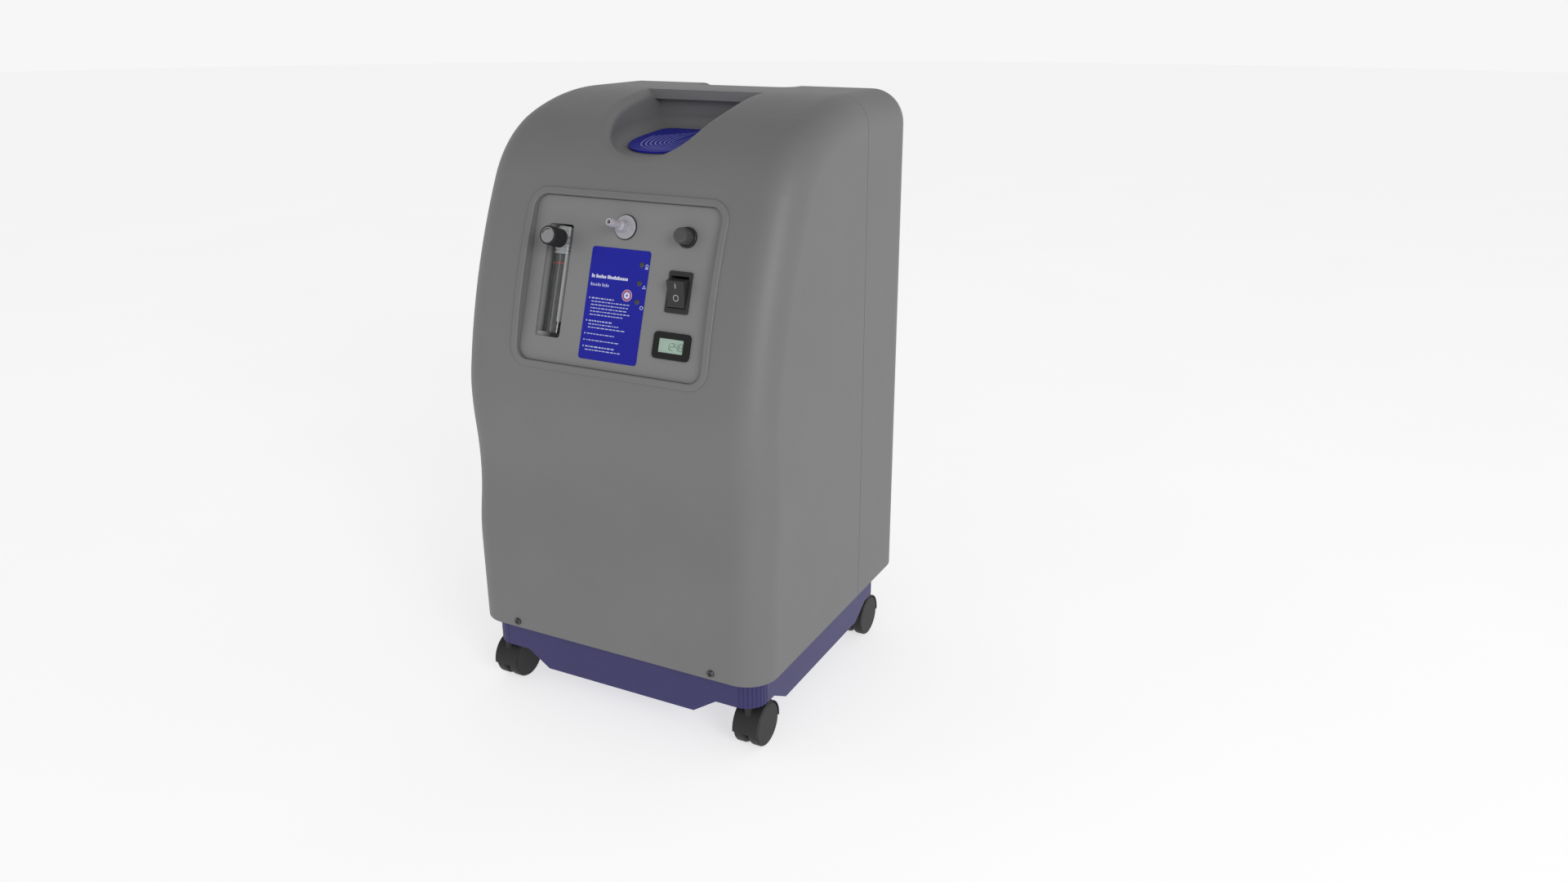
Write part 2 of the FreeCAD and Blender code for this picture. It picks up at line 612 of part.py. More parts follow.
def make_grille():
    """The floor plate of the pocket, with nested curved slots."""
    plate = tongue(S.grilleHalf, S.grilleReach, S.grilleRear, S.grilleLift, S.grilleThick)
    rear_corners = [e for e in plate.Edges if e.BoundBox.ZLength > 1 and e.BoundBox.YMin > S.grilleRear - 1]
    plate = plate.makeFillet(12, rear_corners)
    for i in range(int(S.slotCount)):
        half = S.grilleHalf - 12 - i * S.slotPitch
        reach = S.grilleReach - 11 - i * S.slotPitch
        rear = 2 + i * S.slotPitch * 0.8
        ring = tongue(half, reach, rear, S.grilleThick - 0.8, 4).cut(
            tongue(half - S.slotWide, reach - S.slotWide, rear + 5, 0, 5))
        plate = plate.cut(ring)
    return node("handle_grille", shaped("HandleGrille", plate, pocket_floor()))


# ---------------------------------------------------------------- control panel

def make_control_panel():
    plate = panel_prism("PanelPlate", "panelWide-2*panelGap", "panelTall-2*panelGap",
                        "panelCorner-panelGap", -S.panelThick, 0)
    low, high = -S.panelThick - 1, 1
    cuts = [
        panel_prism("FlowCut", "flowWide", "flowTall", "flowCorner", low, high, S.flowU, S.flowV),
        panel_prism("RockCut", "keySlot+3", "keyReach+3", 1, low, high, S.rockU, S.rockV),
        panel_prism("MeterCut", "meterWide-4", "meterTall-4", "meterCorner-2", low, high,
                    S.meterU, S.meterV),
        rod("OutletCut", "shankHalf", 5, on_panel(S.outletU, S.outletV, low)),
        rod("ResetCut", "resetNeck+0.1", 5, on_panel(S.resetU, S.resetV, low)),
    ]
    cuts += lens_holes("PanelLensCut", 0.05)
    return node("control_panel", cut("ControlPanel", plate, cuts))


def lens_holes(name, slack):
    return [rod(f"{name}{i}", f"lensHalf+{slack}", 6,
                on_panel(S.lensU, S.lensTop - i * S.lensPitch, -4)) for i in range(3)]


def make_label():
    plate = panel_prism("LabelPlate", "labelWide", "labelTall", "labelCorner", 0, "labelThick",
                        S.labelU, S.labelV)
    return node("panel_label", cut("PanelLabel", plate, lens_holes("LabelLensCut", 0.05)))


def make_lenses():
    pieces = [turned(f"Lens{i}", [
        (0, -3), ("lensHalf", -3), ("lensHalf", "lensProud*0.4"), ("lensHalf*0.8", "lensProud*0.8"),
        ("lensHalf*0.4", "lensProud"), (0, "lensProud")],
        on_panel(S.lensU, S.lensTop - i * S.lensPitch)) for i in range(3)]
    return node("status_lenses", group("StatusLenses", pieces))


# ---------------------------------------------------------------- flow meter

def make_flow_housing():
    spot = (S.flowU, S.flowV)
    back = -S.flowDeep - S.panelThick
    case = panel_prism("FlowCase", "flowWide+2*flowWall", "flowTall+2*flowWall", "flowCorner+flowWall",
                       back, -S.panelThick, *spot)
    hollow = panel_prism("FlowHollow", "flowWide", "flowTall", "flowCorner",
                         back + S.flowWall, 1, *spot)
    sill = block("FlowSill", "flowWide-0.2", 4.4, "flowDeep-flowWall", on_panel(
        S.flowU, S.tubeLow - 2.2, back + S.flowWall - TINY))
    seat = rod("FloatSeat", "boreHalf-slack", "seatTall", on_panel(S.flowU, S.tubeLow, S.tubeDepth).multiply(
        place(axis=(1, 0, 0), angle=-90)))
    return node("flow_housing", fuse("FlowHousing", [cut("FlowTray", case, [hollow]), sill, seat]))


def along_tube(v):
    """A frame on the flow tube's centre line, its Z pointing up the panel."""
    return on_panel(S.flowU, v, S.tubeDepth).multiply(place(axis=(1, 0, 0), angle=-90))


def make_flow_tube():
    tall = S.tubeTop - S.tubeLow
    tube = turned("FlowTube", [
        ("boreHalf", 0), ("tubeHalf", 0), ("tubeHalf", tall), ("boreHalf", tall)],
        along_tube(S.tubeLow))
    return node("flow_tube", tube)


def make_float():
    rest = S.tubeLow + S.seatTall + S.slack + S.floatHalf
    ball = solid("Sphere", "FlowFloat", along_tube(rest), Radius="floatHalf")
    return node("flow_float", ball)


def make_flow_valve():
    tall = S.valveTop - S.tubeTop - 0.2
    pitch = tall / S.ribCount
    corners = [(0, 0)]
    for i in range(int(S.ribCount)):
        low = i * pitch
        corners += [("tubeHalf", low), ("tubeHalf", low + pitch * 0.6),
                    ("tubeHalf-ribDeep", low + pitch * 0.6), ("tubeHalf-ribDeep", low + pitch)]
    corners.append((0, tall))
    barrel = turned("ValveBarrel", corners, along_tube(S.tubeTop + 0.2))
    neck = rod("ValveNeck", "neckHalf", S.knobBack + 10 - S.tubeDepth,
               on_panel(S.knobU, S.knobV, S.tubeDepth))
    return node("flow_valve", fuse("FlowValve", [barrel, neck]))


def make_knob():
    spot = on_panel(S.knobU, S.knobV)
    low, high = S.knobBack, S.knobFace
    cap = high - 1.2
    knob = turned("KnobBlank", [
        ("neckHalf+0.06", low), ("knobHalf-0.6", low), ("knobHalf", low + 0.8), ("knobHalf", high - 1.2),
        ("knobHalf-0.6", high), ("capHalf+0.1", high), ("capHalf+0.1", cap), (0, cap),
        (0, low + 11), ("neckHalf+0.06", low + 11)], spot)
    turn = 360 / S.gripCount
    grooves = [rod(f"Grip{i}", "gripHalf", high - low, spot.multiply(
        place(axis=(0, 0, 1), angle=i * turn)).multiply(place(S.knobHalf + 0.1, 0, low - 1.5)))
        for i in range(int(S.gripCount))]
    disc = turned("KnobCap", [
        (0, cap), ("capHalf", cap), ("capHalf", high - 0.4), ("capHalf-0.5", high - 0.1),
        (0, high - 0.1)], spot)
    node("flow_knob", cut("FlowKnob", knob, grooves))
    return node("flow_knob_cap", disc)


# ---------------------------------------------------------------- outlet, breaker, switch, meter

def make_outlet():
    spot = on_panel(S.outletU, S.outletV)
    node("outlet_gasket", turned("OutletGasket", [
        ("shankHalf+0.1", 0), ("gasketHalf", 0), ("gasketHalf", "gasketThick"),
        ("shankHalf+0.1", "gasketThick")], spot))
    top = S.gasketThick + S.flangeThick
    nozzle = turned("OutletNozzle", [
        ("nozzleBore", "-shankDeep"), ("shankHalf-0.1", "-shankDeep"), ("shankHalf-0.1", "gasketThick"),
        ("flangeHalf", "gasketThick"), ("flangeHalf", top - 0.4), ("flangeHalf-0.5", top),
        ("nozzleRoot+0.6", top), ("nozzleRoot", top + 1), ("nozzleRoot-0.3", "rootEnd-1"),
        ("nozzleRoot-1", "rootEnd"), ("nozzleNeck", "rootEnd+1"), ("nozzleNeck", "neckEnd"),
        ("nozzleBarb", "neckEnd+1"), ("nozzleBarb-0.1", "neckEnd+2.5"), ("nozzleNeck-0.2", "barbEnd"),
        ("nozzleBore", "barbEnd")], spot)
    return node("outlet_nozzle", nozzle)


def make_reset():
    spot = on_panel(S.resetU, S.resetV)
    hollow = -S.resetTravel - 4
    node("reset_breaker", turned("ResetBreaker", [
        (0, "-breakerDeep"), ("breakerHalf", "-breakerDeep"), ("breakerHalf", -S.panelThick - 3),
        ("resetNeck", -S.panelThick - 3), ("resetNeck", 0), ("ringHalf", 0),
        ("ringHalf", "ringTall-0.6"), ("ringHalf-0.6", "ringTall"), ("bootHalf+slack", "ringTall"),
        ("bootHalf+slack", hollow), (0, hollow)], spot))
    return node("reset_button", turned("ResetButton", [
        (0, "-resetTravel"), ("bootHalf", "-resetTravel"), ("bootHalf", "bootTop-bootRound"),
        ("bootHalf-0.6", "bootTop-0.6"), ("bootHalf-bootRound", "bootTop"), (0, "bootTop")], spot))


def make_rocker():
    spot = (S.rockU, S.rockV)
    frame = panel_prism("RockPlate", "rockWide", "rockTall", "rockCorner", 0, "rockThick", *spot)
    frame = soften(frame, 0.6, edge_at(S.rockThick))
    body = panel_prism("RockBody", "keySlot+2.6", "keyReach+2.6", 1, -S.switchDeep, 0.1, *spot)
    well = block("RockWell", "keySlot", "keyReach", "switchDeep-8",
                 on_panel(S.rockU, S.rockV, -S.switchDeep + 12))
    node("rocker_frame", cut("RockerFrame", fuse("RockBlank", [frame, body]), [well]))

    key = start_body("RockerKey")
    side = sketch_on(key, "RockerSide", "YZ_Plane")
    polygon(side, [
        ("-keyCorner", "keyRise"), ("-keyCorner-0.2", -2), (-6, -9), (6, -9), ("keyCorner+0.2", -2),
        ("keyCorner", "keyRise"), ("keyCorner*0.5", "keyDish+0.4"), (0, "keyDish"),
        ("-keyCorner*0.5", "keyDish+0.4")])
    pad = key.newObject("PartDesign::Pad", "RockerPad")
    pad.Profile = side
    pad.Midplane = True
    bind(pad, Length="keyWide")
    pivot = on_panel(S.rockU, S.rockV)
    key.Placement = pivot.multiply(place(axis=(1, 0, 0), angle=S.keyTilt))
    across = place(-S.keyWide / 2 - 1).multiply(place(axis=(0, 1, 0), angle=90))
    pin_hole = rod("KeyPinHole", "keyPin", S.keyWide + 2, pivot.multiply(across))
    return node("rocker_key", cut("BoredKey", key, [pin_hole]))


def make_meter():
    spot = (S.meterU, S.meterV)
    plate = panel_prism("MeterPlate", "meterWide", "meterTall", "meterCorner", 0, "meterThick", *spot)
    plate = soften(plate, 0.8, edge_at(S.meterThick))
    body = panel_prism("MeterBody", "meterWide-4.4", "meterTall-4.4", 1.5, -S.meterDeep, 0.1, *spot)
    window = panel_prism("MeterWindow", "screenWide", "screenTall", 0.8,
                         S.meterThick - S.screenDeep, 5, *spot)
    node("hour_meter_case", cut("HourMeterCase", fuse("MeterBlank", [plate, body]), [window]))
    glass = panel_prism("MeterScreen", "screenWide-0.1", "screenTall-0.1", 0.7,
                        S.meterThick - S.screenDeep, S.meterThick - S.screenDeep + 0.5, *spot)
    return node("hour_meter_screen", glass)


# ---------------------------------------------------------------- base tray and casters

CASTERS = {
    "front_left": (-1, S.stemFront, 1), "front_right": (1, S.stemFront, 1),
    "rear_left": (-1, S.stemRear, -1), "rear_right": (1, S.stemRear, -1),
}
TRAY_MIDDLE = (S.trayFront + S.trayRear) / 2
TRAY_LONG = S.trayRear - S.trayFront
CORNER_SIDES = ((-1, -1), (1, -1), (-1, 1), (1, 1))
WELL_TALL = 20
LUG_DEEP = 11
FIT = 0.02


def trapezium(name, role, half, slope, foot, top, wide, middle):
    """A skirt's sloped section, drawn on a plane and padded both ways from it."""
    body = start_body(name)
    sketch = sketch_on(body, name + "Section", role)
    polygon(sketch, [(-half, foot), (half, foot), (half + slope, top), (-half - slope, top)])
    pad = body.newObject("PartDesign::Pad", name + "Pad")
    pad.Profile = sketch
    pad.Midplane = True
    pad.Length = wide
    body.Placement = middle
    return body


def make_wells():
    """The rooms inside the base's lower part, which is cross-shaped to clear the casters."""
    along = block("AlongWell", 2 * (S.skirtHalf - S.skirtWall), TRAY_LONG - 2 * S.trayWall, WELL_TALL,
                  place(0, TRAY_MIDDLE, S.skirtFoot + S.trayWall))
    across = block("AcrossWell", 2 * (S.trayHalf - S.trayWall), 2 * (S.sideHalf - S.skirtWall),
                   WELL_TALL, place(0, TRAY_MIDDLE, S.sideFoot + S.trayWall))
    return [along, across]


def make_troughs(wells):
    """The lower part: a trough from front to back, and one on each side between the casters."""
    middle = place(0, TRAY_MIDDLE, 0)
    top = S.trayUnder - FIT
    rise = S.trayUnder + 0.5
    footprint = padded("TroughFootprint", "2*trayHalf", TRAY_LONG, "trayCorner", S.skirtFoot, top, middle)
    along = trapezium("AlongSkirt", "XZ_Plane", S.skirtHalf, S.skirtSlope, S.skirtFoot, rise,
                      TRAY_LONG, middle)
    beside = trapezium("BesideSkirt", "XZ_Plane", S.skirtHalf + FIT, S.skirtSlope, S.skirtFoot, rise,
                       TRAY_LONG, middle)
    across = trapezium("AcrossSkirt", "YZ_Plane", S.sideHalf, S.skirtSlope, S.sideFoot, rise,
                       2 * S.trayHalf, middle)
    node("base_trough", cut("BaseTrough", common("TroughBlank", along, footprint), wells))
    sides = cut("SideTroughs", common("SideBlank", across, footprint), [beside] + wells)
    halves = [common(f"SideTrough{i}", sides, block(
        f"SideHalf{i}", S.trayHalf, TRAY_LONG, S.trayUnder, place(x_side * S.trayHalf / 2, TRAY_MIDDLE)))
        for i, x_side in enumerate((-1, 1))]
    return node("base_side_troughs", group("BaseSideTroughs", halves))


def make_tray():
    wells = make_wells()
    make_troughs(wells)
    middle = place(0, TRAY_MIDDLE, 0)
    upper = padded("TrayUpper", "2*trayHalf", TRAY_LONG, "trayCorner", S.trayUnder, S.trayTop + 0.1,
                   middle)
    flange_wide = S.bodyWidth - 2 * S.wall - 2 * S.flangeGap
    flange_long = S.bodyDepth - 2 * S.wall - 2 * S.flangeGap
    flange = padded("TrayFlange", flange_wide, flange_long, "edgeRound-wall", S.trayTop,
                    S.trayTop + S.flangeTall)
    lugs = [block(f"Lug{i}", "lugWide", LUG_DEEP, "lugTall", place(
        x_side * S.screwX, y_side * (flange_long - LUG_DEEP) / 2, S.trayTop))
        for i, (x_side, y_side) in enumerate(CORNER_SIDES)]
    stems = [(x_side * S.stemX, y) for x_side, y, _ in CASTERS.values()]
    hollow = padded("TrayHollow", "2*trayHalf-2*trayWall", TRAY_LONG - 2 * S.trayWall,
                    "trayCorner-trayWall", S.trayUnder + S.trayWall, S.trayTop + 30, middle)
    bosses = [rod(f"Boss{i}", "bossHalf", S.bossTop - S.trayUnder, place(x, y, S.trayUnder))
              for i, (x, y) in enumerate(stems)]
    hollow = cut("TrayRoom", hollow, bosses)
    stem_holes = [rod(f"StemHole{i}", "stemHalf+stemFit", S.stemTop + 3 - S.trayUnder,
                      place(x, y, S.trayUnder - 1)) for i, (x, y) in enumerate(stems)]
    screw_holes = [rod(f"LugHole{i}", "screwShank+0.02", 16, place(
        x_side * S.screwX, y_side * (REAR + 1), S.screwZ, (1, 0, 0), 90 * y_side))
        for i, (x_side, y_side) in enumerate(CORNER_SIDES)]
    blank = fuse("TrayBlank", [upper, flange] + lugs)
    return node("base_tray", cut("BaseTray", blank, [hollow] + wells + stem_holes + screw_holes
                                 + corner_flutes()))


def corner_flutes():
    """Upright grooves round each of the tray's corners."""
    step = math.radians(90 / S.fluteCount)
    reach = S.trayCorner + 0.2
    flutes = []
    for i, (x_side, y_side) in enumerate(CORNER_SIDES):
        x = x_side * (S.trayHalf - S.trayCorner)
        y = TRAY_MIDDLE + y_side * (TRAY_LONG / 2 - S.trayCorner)
        for k in range(int(S.fluteCount)):
            angle = (k + 0.5) * step
            flutes.append(rod(f"Flute{i}{k}", "fluteHalf", S.trayTop - S.trayUnder + 1, place(
                x + x_side * reach * math.cos(angle), y + y_side * reach * math.sin(angle),
                S.trayUnder - 1)))
    return flutes


def sector(name, outer, inner, low, high, wide):
    """Part of a ring about the X axis, between two angles measured from -Y over the top."""
    def at(radius, angle):
        turn = math.radians(angle)
        return Vector(-wide / 2, -radius * math.cos(turn), radius * math.sin(turn))

    middle = (low + high) / 2
    edges = [
        Part.Arc(at(outer, low), at(outer, middle), at(outer, high)).toShape(),
        Part.LineSegment(at(outer, high), at(inner, high)).toShape(),
        Part.Arc(at(inner, high), at(inner, middle), at(inner, low)).toShape(),
        Part.LineSegment(at(inner, low), at(outer, low)).toShape(),
    ]
    return shaped(name, Part.Face(Part.Wire(edges)).extrude(Vector(wide, 0, 0)))


def make_caster(label, x_side, stem_y, way):
    """A twin-wheel caster: way is the side of the stem that the wheels trail on."""
    spot = place(x_side * S.stemX, stem_y + way * S.trail, S.wheelHalf)
    wide = 2 * S.wheelWide + S.wheelGap
    across = place(axis=(0, 1, 0), angle=90)
    roof = sector(f"Roof_{label}", S.hoodHalf, S.hoodInner, -S.hoodDrop, 180 + S.hoodDrop, wide)
    web = sector(f"Web_{label}", S.hoodInner + 0.3, 8, 12, 168, S.webThick)
    hub = rod(f"Hub_{label}", "webHalf-4", S.webThick, place(-S.webThick / 2).multiply(across))
    beam = block(f"Beam_{label}", S.webThick, 16, 8, place(0, 0, 4))
    stem = rod(f"Stem_{label}", "stemHalf", S.stemTop - S.wheelHalf - 6, place(0, -way * S.trail, 6))
    clear = rod(f"Clear_{label}", "hoodInner", wide, place(-wide / 2).multiply(across))
    stem = cut(f"StemTrimmed_{label}", stem, [clear])
    bore = rod(f"WebBore_{label}", "axleHalf", 10, place(-5).multiply(across))
    hood = cut(f"Hood_{label}", fuse(f"HoodBlank_{label}", [roof, web, hub, beam, stem]), [bore])
    node(f"caster_hood_{label}", hood, spot)
    axle = rod(f"Axle_{label}", "axleHalf", 2 * (S.axleReach + S.wheelGap / 2),
               place(-S.axleReach - S.wheelGap / 2).multiply(across))
    node(f"caster_axle_{label}", axle, spot)
    for name, side in (("inner", -x_side), ("outer", x_side)):
        flat = S.wheelWide
        wheel = turned(f"Wheel_{label}_{name}", [
            (0, flat), ("wheelHalf-1.6", flat), ("wheelHalf-0.6", flat - 0.5),
            ("wheelHalf", flat - 1.6), ("wheelHalf", "wheelSoft"),
            ("wheelHalf-0.7", "wheelSoft*0.35"), ("wheelHalf-wheelSoft", 0), ("wheelHalf-6", 0),
            ("wheelHalf-7", 2), (8, 2), (7, 0), ("axleHalf+axleFit", 0),
            ("axleHalf+axleFit", "axleReach+0.3"), (0, "axleReach+0.3")])
        wheel.Placement = place(side * S.wheelGap / 2).multiply(place(axis=(0, 1, 0), angle=90 * side))
        node(f"caster_wheel_{label}_{name}", wheel, spot)


# ---------------------------------------------------------------- rear fittings

def make_filter():
    back = REAR - S.filterDeep
    foam = padded("FilterFoam", "filterWide-1", "filterTall-1", "filterCorner-0.5", 0.2,
                  0.2 + S.foamThick, place(0, back, S.filterZ, (1, 0, 0), 90).multiply(
                      place(0, 0, -S.foamThick - 0.4)))
    node("filter_foam", foam)
    low = S.filterDeep - S.coverThick
    face = place(0, back, S.filterZ).multiply(place(axis=(1, 0, 0), angle=-90))
    plate = padded("CoverPlate", "filterWide-1", "filterTall-1", "filterCorner-0.5", low, S.filterDeep, face)
    plate = soften(plate, 1, edge_at_rear)
    pitch = (S.filterTall - 24) / S.louvreCount
    slots = [padded(f"CoverSlot{i}", "filterWide-30", "ventTall", "ventTall/2-0.1", low - 1,
                    S.filterDeep + 1, face.multiply(place(0, (i - (S.louvreCount - 1) / 2) * pitch, 0)))
             for i in range(int(S.louvreCount))]
    pull = block("CoverPull", 26, 5, 3, face.multiply(place(0, S.filterTall / 2 - 7, S.filterDeep - 2)))
    return node("filter_cover", cut("FilterCover", plate, slots + [pull]))


def edge_at_rear(edge):
    box = edge.BoundBox
    return abs(box.ZMin - S.filterDeep) < TINY and abs(box.ZMax - S.filterDeep) < TINY


def make_inlet():
    face = place(S.inletX, REAR, S.inletZ, (1, 0, 0), -90)
    flange = padded("InletFlange", "inletWide", "inletTall", 4, 0.05, 2.6, face)
    flange = soften(flange, 0.8, edge_at(2.6))
    body = padded("InletBody", "inletWide-14", "inletTall-8", 2, -S.inletDeep, 0.1, face)
    well = padded("InletWell", "socketWide", "socketTall", 3, -S.socketDeep + 2, 5, face)
    pins = [block(f"InletPin{i}", 2, 4, 13, face.multiply(place(x, y, -S.socketDeep + 1)))
            for i, (x, y) in enumerate(((-7, -2), (7, -2), (0, 2)))]
    ears = [rod(f"InletEar{i}", 1.7, 6, face.multiply(place(side * 20.5, 0, -1)))
            for i, side in enumerate((-1, 1))]
    return node("power_inlet", fuse("PowerInlet", [cut("InletShell", fuse("InletBlank", [flange, body]),
                                                      [well] + ears)] + pins))


# ---------------------------------------------------------------- chassis and compressor

DECK_TOP = S.deckZ + S.sheet


def make_chassis():
    long = S.trayRear - 3 - S.deckFront
    middle = (S.trayRear - 3 + S.deckFront) / 2
    deck = block("Deck", 2 * S.deckHalf, long, "sheet", place(0, middle, S.deckZ))
    wall = block("Bulkhead", 2 * S.bulkheadHalf, "sheet", S.bulkheadTop - S.deckZ,
                 place(0, S.bulkheadY, S.deckZ))
    bends = [block(f"Bend{i}", "sheet", 26, S.bulkheadTop - S.deckZ,
                   place(side * (S.bulkheadHalf - S.sheet / 2), S.bulkheadY - 13, S.deckZ))
             for i, side in enumerate((-1, 1))]
    fan_hole = rod("FanHole", "fanBore", 20, place(0, S.bulkheadY - 10, S.fanZ, (1, 0, 0), -90))
    pass_holes = [rod(f"HoseHole{i}", 9, 20, place(x, S.bulkheadY - 10, z, (1, 0, 0), -90))
                  for i, (x, z) in enumerate(((-100, 200), (100, 200), (-100, 400), (60, 410)))]
    drain = [block(f"DeckSlot{i}", 60, 12, 10, place(x, 70, S.deckZ - 4)) for i, x in enumerate((-100, 100))]
    legs = [rod(f"DeckLeg{i}", 6, S.deckZ - S.trayUnder - 2.5, place(x, y, S.trayUnder + 3.01))
            for i, (x, y) in enumerate(((-118, -118), (118, -118), (-118, 100), (118, 100)))]
    return node("chassis_frame", cut("ChassisFrame", fuse("ChassisBlank", [deck, wall] + bends + legs),
                                     [fan_hole] + pass_holes + drain))


def make_springs():
    """Coils under the compressor's feet, each a stack of closed turns between two cups."""
    pieces = []
    pitch = (S.springTall - 6) / S.springTurns
    spots = [(x, y) for x in (-S.springX, S.springX) for y in (S.springFront, S.springRear)]
    for i, (x, y) in enumerate(spots):
        low = place(x, y, DECK_TOP)
        cups = [rod(f"SpringCup{i}{k}", "springHalf+1", 3, low.multiply(place(0, 0, k * (S.springTall - 3))))
                for k in (0, 1)]
        core = rod(f"SpringCore{i}", "springHalf-3", "springTall", low)
        turns = [solid("Torus", f"SpringTurn{i}{k}", low.multiply(place(0, 0, 3 + (k + 0.5) * pitch)),
                       Radius1="springHalf-springWire", Radius2="springWire+0.05")
                 for k in range(int(S.springTurns))]
        web = rod(f"SpringWeb{i}", "springHalf-springWire", "springTall", low)
        pieces.append(fuse(f"Spring{i}", cups + [core, web] + turns))
    return node("isolation_springs", group("IsolationSprings", pieces))


def make_compressor():
    floor = DECK_TOP + S.springTall
    middle = place(0, S.motorY, 0)
    across = place(axis=(0, 1, 0), angle=90)
    barrel = rod("MotorBarrel", "motorHalf", "motorLong",
                 place(-S.motorLong / 2, S.motorY, S.motorZ).multiply(across))
    foot = block("MotorFoot", 2 * S.springX + 26, S.springRear - S.springFront + 24, 3,
                 place(0, (S.springFront + S.springRear) / 2, floor + 0.02))
    pedestal = block("MotorPedestal", "motorLong-20", 50, S.motorZ - floor - 30,
                     middle.multiply(place(0, 0, floor + 2)))
    bore = rod("MotorBore", "shaftHalf+0.06", 300, place(-150, S.motorY, S.motorZ).multiply(across))
    fins = []
    for i in range(10):
        angle = 20 + i * (140 / 9)
        fins.append(block(f"MotorFin{i}", "motorLong-16", 2.4, "motorHalf+3",
                          place(0, S.motorY, S.motorZ, (1, 0, 0), angle - 90)))
    blank = fuse("MotorBlank", [barrel, foot, pedestal] + fins)
    node("compressor_motor", cut("CompressorMotor", blank, [bore]))
    heads = []

    for label, side in (("left", -1), ("right", 1)):
        x = side * (S.motorLong / 2 + S.crankWide / 2 + 0.02)
        crank = rod(f"Crank_{label}", S.crankTall / 2, "crankWide",
                    place(x - S.crankWide / 2, S.motorY, S.motorZ).multiply(across))
        barrel = rod(f"Barrel_{label}", 19, S.headTall + S.crankTall / 2 - 8, place(x, S.motorY, S.motorZ))
        head = block(f"Head_{label}", "crankWide+4", 56, 14, place(
            x, S.motorY, S.motorZ + S.crankTall / 2 + S.headTall - 10))
        fins = [rod(f"HeadFin_{label}{i}", 24, 2, place(x, S.motorY, S.motorZ + S.crankTall / 2 + i * 5.6))
                for i in range(int(S.finCount))]
        bolts = [rod(f"HeadBolt_{label}{i}", 2.6, 4, place(
            x + dx, S.motorY + dy, S.motorZ + S.crankTall / 2 + S.headTall + 3.9))
            for i, (dx, dy) in enumerate(((-13, -22), (13, -22), (-13, 22), (13, 22)))]
        port = rod(f"HeadPort_{label}", 5, 16, place(
            x, S.motorY + 27, S.motorZ + S.crankTall / 2 + S.headTall - 3, (1, 0, 0), -90))
        bore = rod(f"CrankBore_{label}", "shaftHalf+0.06", 60,
                   place(x - 30, S.motorY, S.motorZ).multiply(across))
        blank = fuse(f"HeadBlank_{label}", [crank, barrel, head, port] + fins + bolts)
        heads.append(cut(f"CompressorHead_{label}", blank, [bore]))
    node("compressor_heads", group("CompressorHeads", heads))

    shaft = rod("Shaft", "shaftHalf", 2 * S.shaftReach,
                place(-S.shaftReach, S.motorY, S.motorZ).multiply(across))
    wheels = []
    for i, side in enumerate((-1, 1)):
        x = side * (S.motorLong / 2 + S.crankWide + 8)
        wheels.append(rod(f"FanHub{i}", 14, 10, place(x - 5, S.motorY, S.motorZ).multiply(across)))
        for k in range(int(S.fanBlades)):
            spin = place(x, S.motorY, S.motorZ, (1, 0, 0), k * 360 / S.fanBlades)
            wheels.append(block(f"FanBlade{i}{k}", 1.4, 15, "fanHalf",
                                spin.multiply(place(axis=(0, 0, 1), angle=38))))
    return node("compressor_shaft", fuse("CompressorShaft", [shaft] + wheels))


# ---------------------------------------------------------------- oxygen circuit

def make_beds():
    tall = S.bedTall
    beds = [turned(f"Bed{i}", [
        (0, 0), ("bedHalf+3", 0), ("bedHalf+3", "bedCap"), ("bedHalf", "bedCap+2"),
        ("bedHalf", tall - S.bedCap - 2), ("bedHalf+3", tall - S.bedCap), ("bedHalf+3", tall),
        (9, tall), (9, tall + 6), (0, tall + 6)], place(x, S.bedY, S.bedFloor))
        for i, x in enumerate((-S.bedX, 0))]
    node("sieve_beds", group("SieveBeds", beds))
    tank = turned("Tank", [
        (0, 0), ("tankHalf-8", 0), ("tankHalf", 8), ("tankHalf", "tankTall-8"), ("tankHalf-8", "tankTall"),
        (6, "tankTall"), (6, "tankTall+9"), (0, "tankTall+9")], place(S.tankX, S.bedY, S.bedFloor))
    return node("product_tank", tank)


def make_manifold():
    low = S.bedFloor + S.bedTall + 6.2
    wide = S.bedX + 60
    body = block("ManifoldBody", wide, "manifoldDeep", "manifoldTall", place(-S.bedX / 2, S.bedY, low))
    ports = [rod(f"ManifoldPort{i}", 5, 12, place(
        -S.bedX / 2 + dx, S.bedY - S.manifoldDeep / 2 - 11, low + 13,
                                                  (1, 0, 0), -90)) for i, dx in enumerate((-50, 0, 50))]
    node("valve_manifold", fuse("ValveManifold", [body] + ports))
    coils = []
    for i in range(4):
        x = -S.bedX / 2 + (i - 1.5) * 34
        coils.append(turned(f"Coil{i}", [
            (0, 0), ("coilHalf+2", 0), ("coilHalf+2", 3), ("coilHalf", 3), ("coilHalf", "coilTall-3"),
            ("coilHalf+1", "coilTall-3"), ("coilHalf+1", "coilTall"), (3, "coilTall"), (3, "coilTall+3"),
            (0, "coilTall+3")], place(x, S.bedY, low + S.manifoldTall + 0.02)))
    return node("solenoid_valves", group("SolenoidValves", coils))


